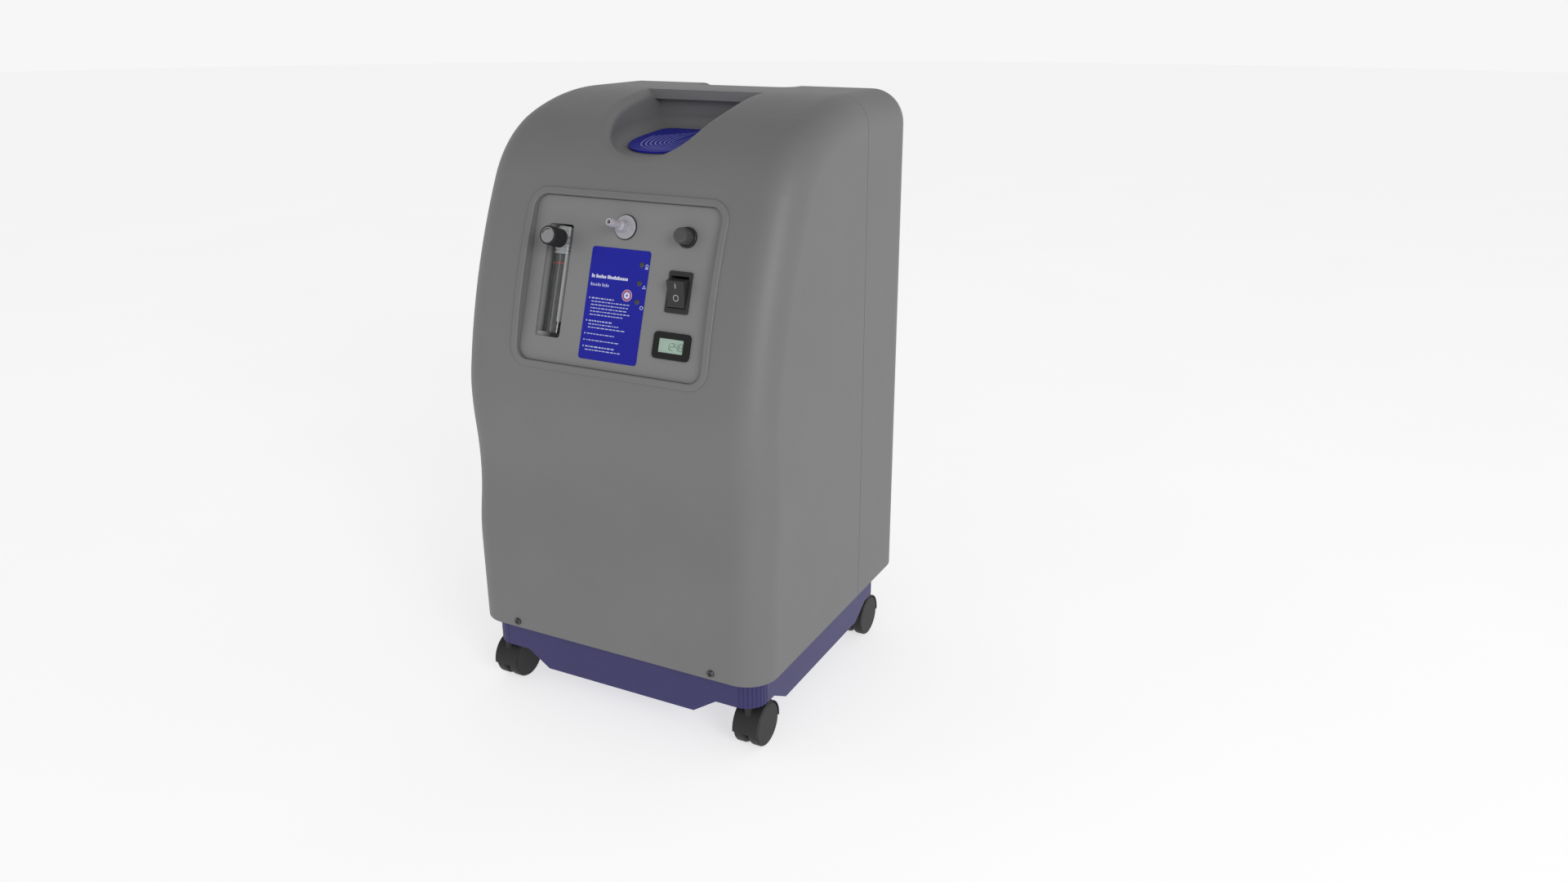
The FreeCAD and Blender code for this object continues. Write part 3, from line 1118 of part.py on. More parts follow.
def make_exchanger():
    """The cooling pipe: level runs joined by half-round bends, in front of the fan."""
    half = S.pipeSpan / 2
    base = S.fanZ - S.pipePitch * (S.pipeRows - 1) / 2
    edges = []
    for i in range(int(S.pipeRows)):
        z = base + i * S.pipePitch
        way = 1 if i % 2 == 0 else -1
        start, end = Vector(-way * half, S.pipeY, z), Vector(way * half, S.pipeY, z)
        edges.append(Part.LineSegment(start, end).toShape())
        if i < S.pipeRows - 1:
            bend = Vector(way * (half + S.pipePitch / 2), S.pipeY, z + S.pipePitch / 2)
            edges.append(Part.Arc(Vector(way * half, S.pipeY, z), bend,
                                  Vector(way * half, S.pipeY, z + S.pipePitch)).toShape())
    path = Part.Wire(edges)
    section = Part.Wire(Part.makeCircle(S.pipeHalf, Vector(-half, S.pipeY, base), Vector(1, 0, 0)))
    pipe = path.makePipeShell([section], True, False)
    plates = shaped("ExchangerPipe", pipe)
    fins = [block(f"ExchangerFin{i}", 0.8, 16, S.pipePitch * (S.pipeRows - 1) + 14,
                  place(-half + 8 + i * (S.pipeSpan - 16) / 14, S.pipeY, base - 7)) for i in range(15)]
    return node("heat_exchanger", fuse("HeatExchanger", [plates] + fins))


def make_fan():
    face = place(0, S.bulkheadY - S.sheet / 2 - S.fanDeep - 0.02, S.fanZ, (1, 0, 0), -90)
    frame = padded("FanFrame", "fanFrame", "fanFrame", 5, 0, "fanDeep", face)
    bore = rod("FanBore", "fanBore", 40, face.multiply(place(0, 0, -2)))
    hub = rod("FanMount", "hubHalf", 3, face)
    arms = [block(f"FanArm{i}", 5, 2 * S.fanBore + 4, 3,
                  face.multiply(place(axis=(0, 0, 1), angle=45 + 90 * i)))
            for i in (0, 1)]
    pin = rod("FanPin", 2.5, 15, face)
    node("cooling_fan_frame", fuse("CoolingFanFrame", [cut("FanRing", frame, [bore]), hub, pin] + arms))
    cup = turned("RotorCup", [(2.56, 4), ("hubHalf", 4), ("hubHalf", "fanDeep-3"), (0, "fanDeep-3"),
                              (0, 16), (2.56, 16)], face)
    blades = []
    for i in range(int(S.bladeCount)):
        spin = face.multiply(place(0, 0, 12.5, (0, 0, 1), i * 360 / S.bladeCount))
        blade = spin.multiply(place((S.fanBore + S.hubHalf) / 2 - 1.5, 0, 0, (1, 0, 0), 38))
        blades.append(block(f"RotorBlade{i}", S.fanBore - S.hubHalf, 20, 1.6, blade))
    return node("cooling_fan_rotor", fuse("CoolingFanRotor", [cup] + blades))


# ---------------------------------------------------------------- electronics and air path

def make_board():
    back = S.bulkheadY - S.sheet / 2
    board = block("Board", "boardWide", 1.6, "boardTall",
                  place(S.boardX, back - S.standoff, S.boardZ - S.boardTall / 2))
    posts = [rod(f"BoardPost{i}", 3, S.standoff,
                 place(S.boardX + dx, back - S.standoff, S.boardZ + dz, (1, 0, 0), -90))
             for i, (dx, dz) in enumerate(((-50, -37), (50, -37), (-50, 37), (50, 37)))]
    front = back - S.standoff - 0.7
    parts = [
        block("BoardRelay", 19, 16, 15, place(S.boardX - 36, front - 8, S.boardZ - 34)),
        block("BoardSink", 30, 20, 26, place(S.boardX, front - 10, S.boardZ + 8)),
        block("BoardChip", 14, 2, 14, place(S.boardX + 34, front - 1, S.boardZ + 10)),
        block("BoardPlug", 32, 9, 8, place(S.boardX + 30, front - 4.5, S.boardZ - 38)),
        rod("BoardCan1", 6, 16, place(S.boardX - 8, front, S.boardZ - 24, (1, 0, 0), 90)),
        rod("BoardCan2", 6, 16, place(S.boardX + 8, front, S.boardZ - 24, (1, 0, 0), 90)),
    ]
    return node("circuit_board", fuse("CircuitBoard", [board] + posts + parts))


def make_air_path():
    can = turned("Capacitor", [
        (0, 0), ("capacitorHalf", 0), ("capacitorHalf", "capacitorTall-2"),
        ("capacitorHalf-2", "capacitorTall"),
        (7, "capacitorTall"), (7, "capacitorTall+4"), (0, "capacitorTall+4")],
        place(S.capacitorX, S.capacitorY, DECK_TOP + 0.02))
    node("run_capacitor", can)
    muffler = turned("Muffler", [
        (0, 0), (6, 0), (6, 8), ("mufflerHalf-5", 8), ("mufflerHalf", 13),
        ("mufflerHalf", "mufflerLong-13"),
        ("mufflerHalf-5", "mufflerLong-8"), (6, "mufflerLong-8"), (6, "mufflerLong"), (0, "mufflerLong")],
        place(S.mufflerX, S.mufflerY, DECK_TOP + 0.02))
    node("exhaust_muffler", muffler)
    canister = turned("Canister", [
        (0, 0), ("canisterHalf-3", 0), ("canisterHalf", 3), ("canisterHalf", 12), ("canisterHalf-1.5", 12),
        ("canisterHalf-1.5", 16), ("canisterHalf", 16), ("canisterHalf", "canisterTall-6"),
        ("canisterHalf-6", "canisterTall"), (7, "canisterTall"), (7, "canisterTall+14"),
        (0, "canisterTall+14")],
        place(S.canisterX, S.canisterY, S.canisterZ))
    clamp = block("CanisterClamp", 24, S.bulkheadY - S.sheet / 2 - S.canisterY - 10, 10,
                  place(S.canisterX, (S.bulkheadY - S.sheet / 2 + S.canisterY + 10) / 2 - 0.02,
                        S.canisterZ + 30))
    return node("intake_filter", fuse("IntakeFilter", [canister, clamp]))


# ---------------------------------------------------------------- build, check, write

def build():
    make_front_shell()
    make_rear_shell()
    make_screws()
    make_grille()
    make_control_panel()
    make_label()
    make_lenses()
    make_flow_housing()
    make_flow_tube()
    make_float()
    make_flow_valve()
    make_knob()
    make_outlet()
    make_reset()
    make_rocker()
    make_meter()
    make_tray()
    for label, (x_side, stem_y, way) in CASTERS.items():
        make_caster(label, x_side, stem_y, way)
    make_filter()
    make_inlet()
    make_chassis()
    make_springs()
    make_compressor()
    make_beds()
    make_manifold()
    make_exchanger()
    make_fan()
    make_board()
    make_air_path()
    doc.recompute()


def check():
    for thing in doc.Objects:
        if "Invalid" in thing.State or "Error" in thing.State:
            raise RuntimeError(f"{thing.Name} did not recompute: {thing.State}")
    for label, piece in NODES.items():
        shape = piece.Shape
        if shape.isNull() or not shape.isValid() or not shape.Solids:
            raise RuntimeError(f"{label} has no valid solid")


def write():
    os.makedirs("parts", exist_ok=True)
    for label, piece in NODES.items():
        piece.Shape.exportStep(f"parts/{label}.step")
        box = piece.Shape.optimalBoundingBox()
        print(f"{label}: {len(piece.Shape.Solids)} solid(s), {piece.Shape.Volume / 1000:.1f} cm3, "
              f"x {box.XMin:.1f}..{box.XMax:.1f}, y {box.YMin:.1f}..{box.YMax:.1f}, "
              f"z {box.ZMin:.1f}..{box.ZMax:.1f}")


build()
check()
write()
print(f"{len(NODES)} nodes")
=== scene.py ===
"""Oxygen concentrator: the looks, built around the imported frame.

Metres, +Z up, the front faces -Y, the origin is on the floor below the middle of the cabinet.
"""

import json
import math
import random

import bmesh
import bpy
from mathutils import Matrix, Vector
from mathutils.bvhtree import BVHTree


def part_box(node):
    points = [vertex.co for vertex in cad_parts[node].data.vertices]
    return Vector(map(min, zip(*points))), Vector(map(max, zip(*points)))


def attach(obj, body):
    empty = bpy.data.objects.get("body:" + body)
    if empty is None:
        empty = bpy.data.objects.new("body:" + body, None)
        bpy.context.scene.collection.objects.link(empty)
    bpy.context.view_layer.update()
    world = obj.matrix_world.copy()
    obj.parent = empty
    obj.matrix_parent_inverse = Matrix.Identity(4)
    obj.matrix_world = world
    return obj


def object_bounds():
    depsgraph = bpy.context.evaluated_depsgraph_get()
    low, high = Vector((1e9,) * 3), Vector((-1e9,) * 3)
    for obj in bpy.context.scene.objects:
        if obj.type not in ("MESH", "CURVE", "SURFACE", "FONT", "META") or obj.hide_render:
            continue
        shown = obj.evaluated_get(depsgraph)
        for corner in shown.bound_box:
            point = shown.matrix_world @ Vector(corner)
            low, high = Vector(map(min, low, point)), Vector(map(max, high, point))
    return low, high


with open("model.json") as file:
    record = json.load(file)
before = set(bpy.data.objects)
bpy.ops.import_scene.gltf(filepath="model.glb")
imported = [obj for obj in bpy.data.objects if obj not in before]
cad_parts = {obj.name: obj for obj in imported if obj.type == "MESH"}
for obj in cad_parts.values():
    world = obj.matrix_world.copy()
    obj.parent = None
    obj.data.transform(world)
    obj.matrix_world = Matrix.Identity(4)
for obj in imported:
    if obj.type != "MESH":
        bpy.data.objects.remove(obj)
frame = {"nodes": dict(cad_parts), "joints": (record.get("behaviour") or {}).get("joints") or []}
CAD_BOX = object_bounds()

MM = 0.001
CAMERA_AT = Vector((0.62779, -1.02766, 0.68255))
CAMERA_AZIMUTH = 26.9
CAMERA_PITCH = 20.03
CAMERA_LENS = 27.74

MARK_THICK = 0.06 * MM
MARK_SINK = 0.03 * MM
TUBE_GAP = 0.02 * MM
ABOVE_PANEL = 80 * MM


# ---------------------------------------------------------------- where things are

def joint(name):
    return next(j for j in frame["joints"] if j["name"] == name)


def middle(node):
    low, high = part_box(node)
    return (low + high) / 2


def panel_frame():
    """The leaning panel's own frame: u to the right, v up its face, w out of it."""
    out = Vector(joint("flow_knob_turn")["axis"])
    up = Vector(joint("flow_float_rise")["axis"])
    plate = frame["nodes"]["control_panel"].data.vertices
    centre = middle("control_panel")
    face = max((vertex.co - centre).dot(out) for vertex in plate)
    columns = Matrix((Vector((1, 0, 0)), up, out)).transposed().to_4x4()
    columns.translation = centre + out * face
    return columns


PANEL = panel_frame()
TO_PANEL = PANEL.inverted()


def spot(node):
    """A node's middle in the panel's frame."""
    return TO_PANEL @ middle(node)


# ---------------------------------------------------------------- materials

def blank(name, **settings):
    """A material and its tree, with the Principled shader's own sockets set."""
    made = bpy.data.materials.new(name)
    made.use_nodes = True
    shader = made.node_tree.nodes["Principled BSDF"]
    for key, value in settings.items():
        shader.inputs[key.replace("_", " ")].default_value = value
    return made, made.node_tree, shader


def grain(tree, scale, detail, stretch=(1, 1, 1)):
    """Noise fixed to the object, scale in cells per metre."""
    place = tree.nodes.new("ShaderNodeTexCoord")
    mapping = tree.nodes.new("ShaderNodeMapping")
    mapping.inputs["Scale"].default_value = stretch
    tree.links.new(place.outputs["Object"], mapping.inputs["Vector"])
    made = tree.nodes.new("ShaderNodeTexNoise")
    made.inputs["Scale"].default_value = scale
    made.inputs["Detail"].default_value = detail
    tree.links.new(mapping.outputs["Vector"], made.inputs["Vector"])
    return made.outputs["Fac"]


def ramp(tree, driver, low, high, first=0.35, last=0.65):
    """A colour that runs from low to high as the driver rises."""
    made = tree.nodes.new("ShaderNodeValToRGB")
    made.color_ramp.elements[0].position = first
    made.color_ramp.elements[1].position = last
    made.color_ramp.elements[0].color = (*low, 1)
    made.color_ramp.elements[1].color = (*high, 1)
    tree.links.new(driver, made.inputs["Fac"])
    return made.outputs["Color"]


def remap(tree, driver, low, high):
    """A number that runs from low to high as the noise rises."""
    made = tree.nodes.new("ShaderNodeMapRange")
    made.inputs["From Min"].default_value = 0.3
    made.inputs["From Max"].default_value = 0.7
    made.inputs["To Min"].default_value = low
    made.inputs["To Max"].default_value = high
    tree.links.new(driver, made.inputs["Value"])
    return made.outputs["Result"]


def shade(colour, factor):
    """A colour made lighter or darker."""
    return tuple(min(1.0, channel * factor) for channel in colour)


def emboss(tree, shader, heights):
    """Chains bumps: each is (driver, depth in metres, strength)."""
    normal = None
    for driver, depth, strength in heights:
        bump = tree.nodes.new("ShaderNodeBump")
        bump.inputs["Distance"].default_value = depth
        bump.inputs["Strength"].default_value = strength
        tree.links.new(driver, bump.inputs["Height"])
        if normal:
            tree.links.new(normal, bump.inputs["Normal"])
        normal = bump.outputs["Normal"]
    tree.links.new(normal, shader.inputs["Normal"])


def moulded(name, colour, rough, cells=900, depth=0.12, mottle=0.04, **settings):
    """Moulded plastic: fine spark-eroded grain, faint mottling and uneven gloss."""
    made, tree, shader = blank(name, **settings)
    broad = grain(tree, 14, 3)
    fine = grain(tree, cells, 3)
    tree.links.new(ramp(tree, broad, shade(colour, 1 - mottle), shade(colour, 1 + mottle)),
                   shader.inputs["Base Color"])
    tree.links.new(remap(tree, fine, rough - 0.06, rough + 0.06), shader.inputs["Roughness"])
    emboss(tree, shader, [(fine, depth * MM, 0.35), (broad, 0.25 * MM, 0.12)])
    return made


def brushed(name, colour, rough, stretch=(1, 1, 40), cells=60):
    """Bare metal with lines drawn out along one way."""
    made, tree, shader = blank(name, Metallic=1.0)
    lines = grain(tree, cells, 5, stretch)
    cloud = grain(tree, 30, 3)
    tree.links.new(ramp(tree, cloud, shade(colour, 0.86), shade(colour, 1.08)), shader.inputs["Base Color"])
    tree.links.new(remap(tree, lines, rough - 0.1, rough + 0.12), shader.inputs["Roughness"])
    emboss(tree, shader, [(lines, 0.05 * MM, 0.4)])
    return made


def cast(name, colour):
    """Sand-cast aluminium: lumpy and pitted."""
    made, tree, shader = blank(name, Metallic=0.9)
    pits = grain(tree, 420, 4)
    lumps = grain(tree, 60, 3)
    tree.links.new(ramp(tree, lumps, shade(colour, 0.8), shade(colour, 1.1)), shader.inputs["Base Color"])
    tree.links.new(remap(tree, pits, 0.4, 0.65), shader.inputs["Roughness"])
    emboss(tree, shader, [(pits, 0.25 * MM, 0.6), (lumps, 0.4 * MM, 0.3)])
    return made


def painted(name, colour, rough=0.4):
    """Glossy paint with a faint orange peel."""
    made, tree, shader = blank(name, Coat_Weight=0.3)
    peel = grain(tree, 260, 2)
    broad = grain(tree, 25, 3)
    tree.links.new(ramp(tree, broad, shade(colour, 0.9), shade(colour, 1.12)), shader.inputs["Base Color"])
    tree.links.new(remap(tree, peel, rough - 0.08, rough + 0.08), shader.inputs["Roughness"])
    emboss(tree, shader, [(peel, 0.12 * MM, 0.4)])
    return made


def clear(name, tint):
    """Clear acrylic with fine lines drawn out upwards and faint surface haze."""
    made, tree, shader = blank(name, Transmission_Weight=0.96, IOR=1.49, Specular_IOR_Level=0.4)
    lines = grain(tree, 240, 2, (1, 1, 0.04))
    haze = grain(tree, 500, 2)
    tree.links.new(ramp(tree, lines, shade(tint, 0.93), tint), shader.inputs["Base Color"])
    tree.links.new(remap(tree, haze, 0.02, 0.072), shader.inputs["Roughness"])
    emboss(tree, shader, [(lines, 0.03 * MM, 0.3)])
    return made


def milky(name, colour, through, rough):
    """Translucent moulding: some light goes through, scattered."""
    made, tree, shader = blank(name, Transmission_Weight=through, IOR=1.45, Subsurface_Weight=0.25,
                               Subsurface_Scale=0.002)
    cloud = grain(tree, 110, 2)
    fine = grain(tree, 1600, 2)
    tree.links.new(ramp(tree, cloud, shade(colour, 0.95), shade(colour, 1.04)), shader.inputs["Base Color"])
    tree.links.new(remap(tree, fine, rough - 0.03, rough + 0.04), shader.inputs["Roughness"])
    emboss(tree, shader, [(fine, 0.01 * MM, 0.25)])
    return made


def meter_tray_painted_shade():
    """The flow meter's tray: painted light, grey, on its left wall, falling to painted shade, near black,
    on its right.
    """
    low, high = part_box("flow_housing")
    made, tree, shader = blank("meter_tray_painted_shade", Specular_IOR_Level=0.3)
    place = tree.nodes.new("ShaderNodeTexCoord")
    split = tree.nodes.new("ShaderNodeSeparateXYZ")
    across = tree.nodes.new("ShaderNodeMapRange")
    across.inputs["From Min"].default_value = low.x + 3 * MM
    across.inputs["From Max"].default_value = high.x - 3 * MM
    tree.links.new(place.outputs["Object"], split.inputs["Vector"])
    tree.links.new(split.outputs["X"], across.inputs["Value"])
    # Painted light and shade: light grey at the left wall, falling to near black at the right wall.
    tone = ramp(tree, across.outputs["Result"], (0.27, 0.27, 0.275), (0.006, 0.006, 0.006), 0.08, 0.6)
    tree.links.new(tone, shader.inputs["Base Color"])
    fine = grain(tree, 1100, 3)
    tree.links.new(remap(tree, fine, 0.36, 0.5), shader.inputs["Roughness"])
    emboss(tree, shader, [(fine, 0.05 * MM, 0.3)])
    return made


def foam(name, colour):
    """Open-cell foam: painted shade in the pits, lighter ribs between them."""
    made, tree, shader = blank(name, Sheen_Weight=0.3)
    cells = tree.nodes.new("ShaderNodeTexVoronoi")
    place = tree.nodes.new("ShaderNodeTexCoord")
    cells.inputs["Scale"].default_value = 700
    tree.links.new(place.outputs["Object"], cells.inputs["Vector"])
    # Painted shade: darker towards each cell's middle, the pits, and lighter on the ribs.
    tree.links.new(ramp(tree, cells.outputs["Distance"], shade(colour, 0.4), shade(colour, 1.4), 0.1, 0.6),
                   shader.inputs["Base Color"])
    tree.links.new(remap(tree, grain(tree, 900, 3), 0.85, 0.98), shader.inputs["Roughness"])
    emboss(tree, shader, [(cells.outputs["Distance"], 0.8 * MM, 0.9)])
    return made


def ink_and_painted_light(name, colour, rough=0.5):
    """Screen-printed ink, slightly uneven in cover; also the flat colour of painted shade and highlight
    marks.
    """
    made, tree, shader = blank(name)
    cover = grain(tree, 1800, 3)
    tree.links.new(ramp(tree, cover, shade(colour, 0.88), shade(colour, 1.04)), shader.inputs["Base Color"])
    tree.links.new(remap(tree, cover, rough - 0.1, rough + 0.1), shader.inputs["Roughness"])
    emboss(tree, shader, [(cover, 0.02 * MM, 0.3)])
    return made


def liquid_crystal():
    """A grey-green reflective display behind clear plastic."""
    made, tree, shader = blank("lcd_screen", Coat_Weight=0.8, Coat_Roughness=0.06)
    cloud = grain(tree, 90, 2)
    fibre = grain(tree, 900, 2, (1, 3, 3))
    tree.links.new(ramp(tree, cloud, (0.27, 0.385, 0.315), (0.30, 0.415, 0.34)),
                   shader.inputs["Base Color"])
    tree.links.new(remap(tree, fibre, 0.34, 0.46), shader.inputs["Roughness"])
    emboss(tree, shader, [(fibre, 0.03 * MM, 0.3)])
    return made


SLOTTED_PART = 0.93
SLOT_STARTS = 0.15 * MM


def grille_plastic(colour, slot_highlight_colour):
    """The pocket's floor plate: blue on its face and round its edge, with a painted pale highlight inside
    its slots.
    """
    low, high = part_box("handle_grille")
    plate = frame["nodes"]["handle_grille"].data
    upwards = max((f for f in plate.polygons if f.normal.z > 0.9), key=lambda f: f.area).normal
    top = max(vertex.co.dot(upwards) for vertex in plate.vertices)
    made, tree, shader = blank("grille_blue", Specular_IOR_Level=0.2)

    def vector(operation, first, second):
        step = tree.nodes.new("ShaderNodeVectorMath")
        step.operation = operation
        tree.links.new(first, step.inputs[0])
        step.inputs[1].default_value = second
        return step.outputs

    def under(value, limit):
        step = tree.nodes.new("ShaderNodeMath")
        step.operation = "LESS_THAN"
        tree.links.new(value, step.inputs[0])
        step.inputs[1].default_value = limit
        return step.outputs["Value"]

    place = tree.nodes.new("ShaderNodeTexCoord").outputs["Object"]
    half = Vector(((high.x - low.x) / 2, (high.y - low.y) / 2, 1e3)) * SLOTTED_PART
    inward = vector("SUBTRACT", place, (low + high) / 2)["Vector"]
    spread = vector("MULTIPLY", inward, [1 / side for side in half])["Vector"]
    inside = under(vector("LENGTH", spread, (0, 0, 0))["Value"], 1.0)
    sunk = under(vector("DOT_PRODUCT", place, upwards)["Value"], top - SLOT_STARTS)
    # Painted highlight: the slot bottoms inside the slotted part take the pale highlight colour.
    slot_highlight_mask = tree.nodes.new("ShaderNodeMath")
    slot_highlight_mask.operation = "MULTIPLY"
    tree.links.new(inside, slot_highlight_mask.inputs[0])
    tree.links.new(sunk, slot_highlight_mask.inputs[1])
    mix = tree.nodes.new("ShaderNodeMix")
    mix.data_type = "RGBA"
    broad = grain(tree, 20, 3)
    fine = grain(tree, 900, 3)
    tree.links.new(slot_highlight_mask.outputs["Value"], mix.inputs["Factor"])
    tree.links.new(ramp(tree, broad, shade(colour, 0.94), shade(colour, 1.05)), mix.inputs["A"])
    tree.links.new(ramp(tree, fine, shade(slot_highlight_colour, 0.9), slot_highlight_colour), mix.inputs["B"])
    tree.links.new(mix.outputs["Result"], shader.inputs["Base Color"])
    tree.links.new(remap(tree, fine, 0.4, 0.52), shader.inputs["Roughness"])
    emboss(tree, shader, [(fine, 0.08 * MM, 0.3)])
    return made


SHELL_GREY = (0.150, 0.150, 0.151)
PANEL_GREY = (0.190, 0.190, 0.192)
SIGNAL_BLUE = (0.008, 0.010, 0.285)
BASE_VIOLET = (0.037, 0.032, 0.122)
NEAR_BLACK = (0.024, 0.024, 0.025)


def dress_nodes():
    """Gives every CAD node its material."""
    shell = moulded("shell_grey", SHELL_GREY, 0.5, 800, 0.3, 0.018)
    black = moulded("switch_black", NEAR_BLACK, 0.42, 1500, 0.06, Specular_IOR_Level=0.25)
    hood = moulded("hood_black", (0.021, 0.021, 0.022), 0.46, 1200, 0.1, Specular_IOR_Level=0.25)
    tyre = moulded("wheel_grey", (0.024, 0.024, 0.024), 0.5, 1300, 0.08, Specular_IOR_Level=0.2)
    white = moulded("filter_white", (0.60, 0.61, 0.62), 0.45, 1200, 0.06)
    steel = brushed("axle_steel", (0.56, 0.56, 0.57), 0.3, (1, 40, 40), 80)
    alloy = brushed("drawn_alloy", (0.72, 0.72, 0.74), 0.34, (40, 40, 1))
    casting = cast("cast_alloy", (0.5, 0.5, 0.51))
    looks = {
        "front_shell": shell,
        "rear_shell": shell,
        "filter_cover": moulded("cover_grey", shade(SHELL_GREY, 0.92), 0.5, 800, 0.3, 0.018),
        "shell_screws": painted("screw_black", (0.028, 0.028, 0.03), 0.33),
        # The pale second colour is a painted highlight in the grille's slots.
        "handle_grille": grille_plastic(SIGNAL_BLUE, (0.42, 0.45, 0.72)),
        "control_panel": moulded("panel_grey", PANEL_GREY, 0.46, 1500, 0.08, 0.02),
        "panel_label": moulded("label_blue", SIGNAL_BLUE, 0.42, 2200, 0.03, 0.05,
                               Specular_IOR_Level=0.2),
        "status_lenses": milky("lens_smoke", (0.05, 0.055, 0.05), 0.2, 0.2),
        "flow_housing": meter_tray_painted_shade(),
        "flow_tube": clear("tube_clear", (0.60, 0.61, 0.62)),
        "flow_float": brushed("float_dark", (0.09, 0.09, 0.095), 0.2),
        "flow_valve": milky("valve_clear", (0.40, 0.41, 0.42), 0.25, 0.22),
        "flow_knob": moulded("knob_black", (0.018, 0.018, 0.019), 0.42, 1600, 0.05,
                             Specular_IOR_Level=0.3),
        "flow_knob_cap": moulded("knob_cap_grey", (0.22, 0.22, 0.225), 0.38, 1500, 0.04),
        "outlet_gasket": moulded("gasket_rubber", (0.016, 0.016, 0.017), 0.7, 900, 0.1),
        "outlet_nozzle": milky("nozzle_pearl", (0.40, 0.39, 0.43), 0.1, 0.28),
        "reset_breaker": moulded("breaker_black", (0.018, 0.018, 0.019), 0.42, 1400, 0.06,
                                 Specular_IOR_Level=0.3),
        "reset_button": milky("boot_smoke", (0.105, 0.105, 0.107), 0.45, 0.4),
        "rocker_frame": black,
        "rocker_key": moulded("rocker_black", (0.031, 0.031, 0.032), 0.42, 1700, 0.05,
                              Specular_IOR_Level=0.25),
        "hour_meter_case": moulded("meter_black", (0.016, 0.016, 0.017), 0.46, 1500, 0.06,
                                   Specular_IOR_Level=0.12),
        "hour_meter_screen": liquid_crystal(),
        "base_": moulded("tray_violet", BASE_VIOLET, 0.42, 800, 0.12, 0.05, Specular_IOR_Level=0.3),
        "filter_foam": foam("filter_foam", (0.045, 0.045, 0.05)),
        "power_inlet": moulded("inlet_black", (0.025, 0.025, 0.026), 0.35, 1500, 0.05),
        "chassis_frame": brushed("zinc_sheet", (0.55, 0.56, 0.57), 0.42, (6, 1, 6), 90),
        "isolation_springs": brushed("spring_steel", (0.45, 0.45, 0.46), 0.3),
        "compressor_motor": painted("motor_paint", (0.05, 0.055, 0.065)),
        "compressor_head": casting,
        "compressor_shaft": steel,
        "sieve_bed": alloy,
        "product_tank": alloy,
        "valve_manifold": casting,
        "solenoid_valves": moulded("coil_black", (0.02, 0.02, 0.022), 0.4),
        "heat_exchanger": brushed("exchanger_alloy", (0.7, 0.7, 0.71), 0.36, (1, 30, 30)),
        "cooling_fan_frame": moulded("fan_black", (0.018, 0.018, 0.02), 0.5),
        "cooling_fan_rotor": moulded("rotor_black", (0.022, 0.022, 0.024), 0.45),
        "circuit_board": moulded("board_green", (0.012, 0.09, 0.03), 0.3, 600, 0.1, 0.2),
        "run_capacitor": alloy,
        "exhaust_muffler": moulded("muffler_black", (0.02, 0.02, 0.02), 0.6),
        "intake_filter": white,
        "caster_hood": hood,
        "caster_wheel": tyre,
        "caster_axle": steel,
    }
    for name, node in frame["nodes"].items():
        best = max((start for start in looks if name.startswith(start)), key=len)
        node.data.materials.clear()
        node.data.materials.append(looks[best])


# ---------------------------------------------------------------- printed marks and painted light

def circle(u, v, radius, count=40):
    steps = (2 * math.pi * i / count for i in range(count))
    return [(u + radius * math.cos(a), v + radius * math.sin(a)) for a in steps]


def bar(u, v, long, tall, ends):
    """A level bar with round ends, centred on u and v."""
    radius = tall / 2
    half = long / 2 - radius
    outline = []
    for side, start in ((1, -math.pi / 2), (-1, math.pi / 2)):
        for i in range(ends + 1):
            angle = start + math.pi * i / ends
            outline.append((u + side * half + radius * math.cos(angle), v + radius * math.sin(angle)))
    return outline


def offset_polygon(corners, centre, factor):
    return [(centre[0] + (x - centre[0]) * factor, centre[1] + (y - centre[1]) * factor)
            for x, y in corners]


class PrintAndShadeMarks:
    """Thin marks drawn in the panel's frame and laid on a node's surface."""

    def __init__(self, name, node, look, slot, body="housing"):
        self.name, self.look, self.slot, self.body = name, look, slot, body
        self.shape = bmesh.new()
        source = bmesh.new()
        source.from_mesh(frame["nodes"][node].data)
        self.surface = BVHTree.FromBMesh(source)
        source.free()

    def land(self, u, v):
        """The point of the surface straight below u and v, and the way out of the panel."""
        out = PANEL.to_3x3() @ Vector((0, 0, 1))
        start = PANEL @ Vector((u, v, ABOVE_PANEL))
        hit = self.surface.ray_cast(start, -out)[0]
        return hit, out

    def walls(self, low, high):
        count = len(low)
        for i in range(count):
            after = (i + 1) % count
            self.shape.faces.new((low[i], low[after], high[after], high[i]))

    def loops(self, outline):
        low, high = [], []
        for u, v in outline:
            hit, out = self.land(u, v)
            low.append(self.shape.verts.new(hit - out * MARK_SINK))
            high.append(self.shape.verts.new(hit + out * MARK_THICK))
        return low, high

    def solid(self, outline):
        low, high = self.loops(outline)
        self.walls(low, high)
        self.shape.faces.new(high)
        self.shape.faces.new(list(reversed(low)))

    def ring(self, outer, inner):
        low, high = self.loops(outer)
        inner_low, inner_high = self.loops(inner)
        self.walls(low, high)
        self.walls(list(reversed(inner_low)), list(reversed(inner_high)))
        for i in range(len(outer)):
            after = (i + 1) % len(outer)
            self.shape.faces.new((high[i], high[after], inner_high[after], inner_high[i]))
            self.shape.faces.new((low[after], low[i], inner_low[i], inner_low[after]))

    def finish(self):
        piece(self.name, self.shape, self.look, self.body)


def piece(name, shape, look, body):
    """Turns a bmesh into a piece that rides on a body."""
    bmesh.ops.recalc_face_normals(shape, faces=shape.faces)
    mesh = bpy.data.meshes.new(name)
    shape.to_mesh(mesh)
    shape.free()
    mesh.materials.append(look)
    made = bpy.data.objects.new(name, mesh)
    bpy.context.scene.collection.objects.link(made)
    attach(made, body)


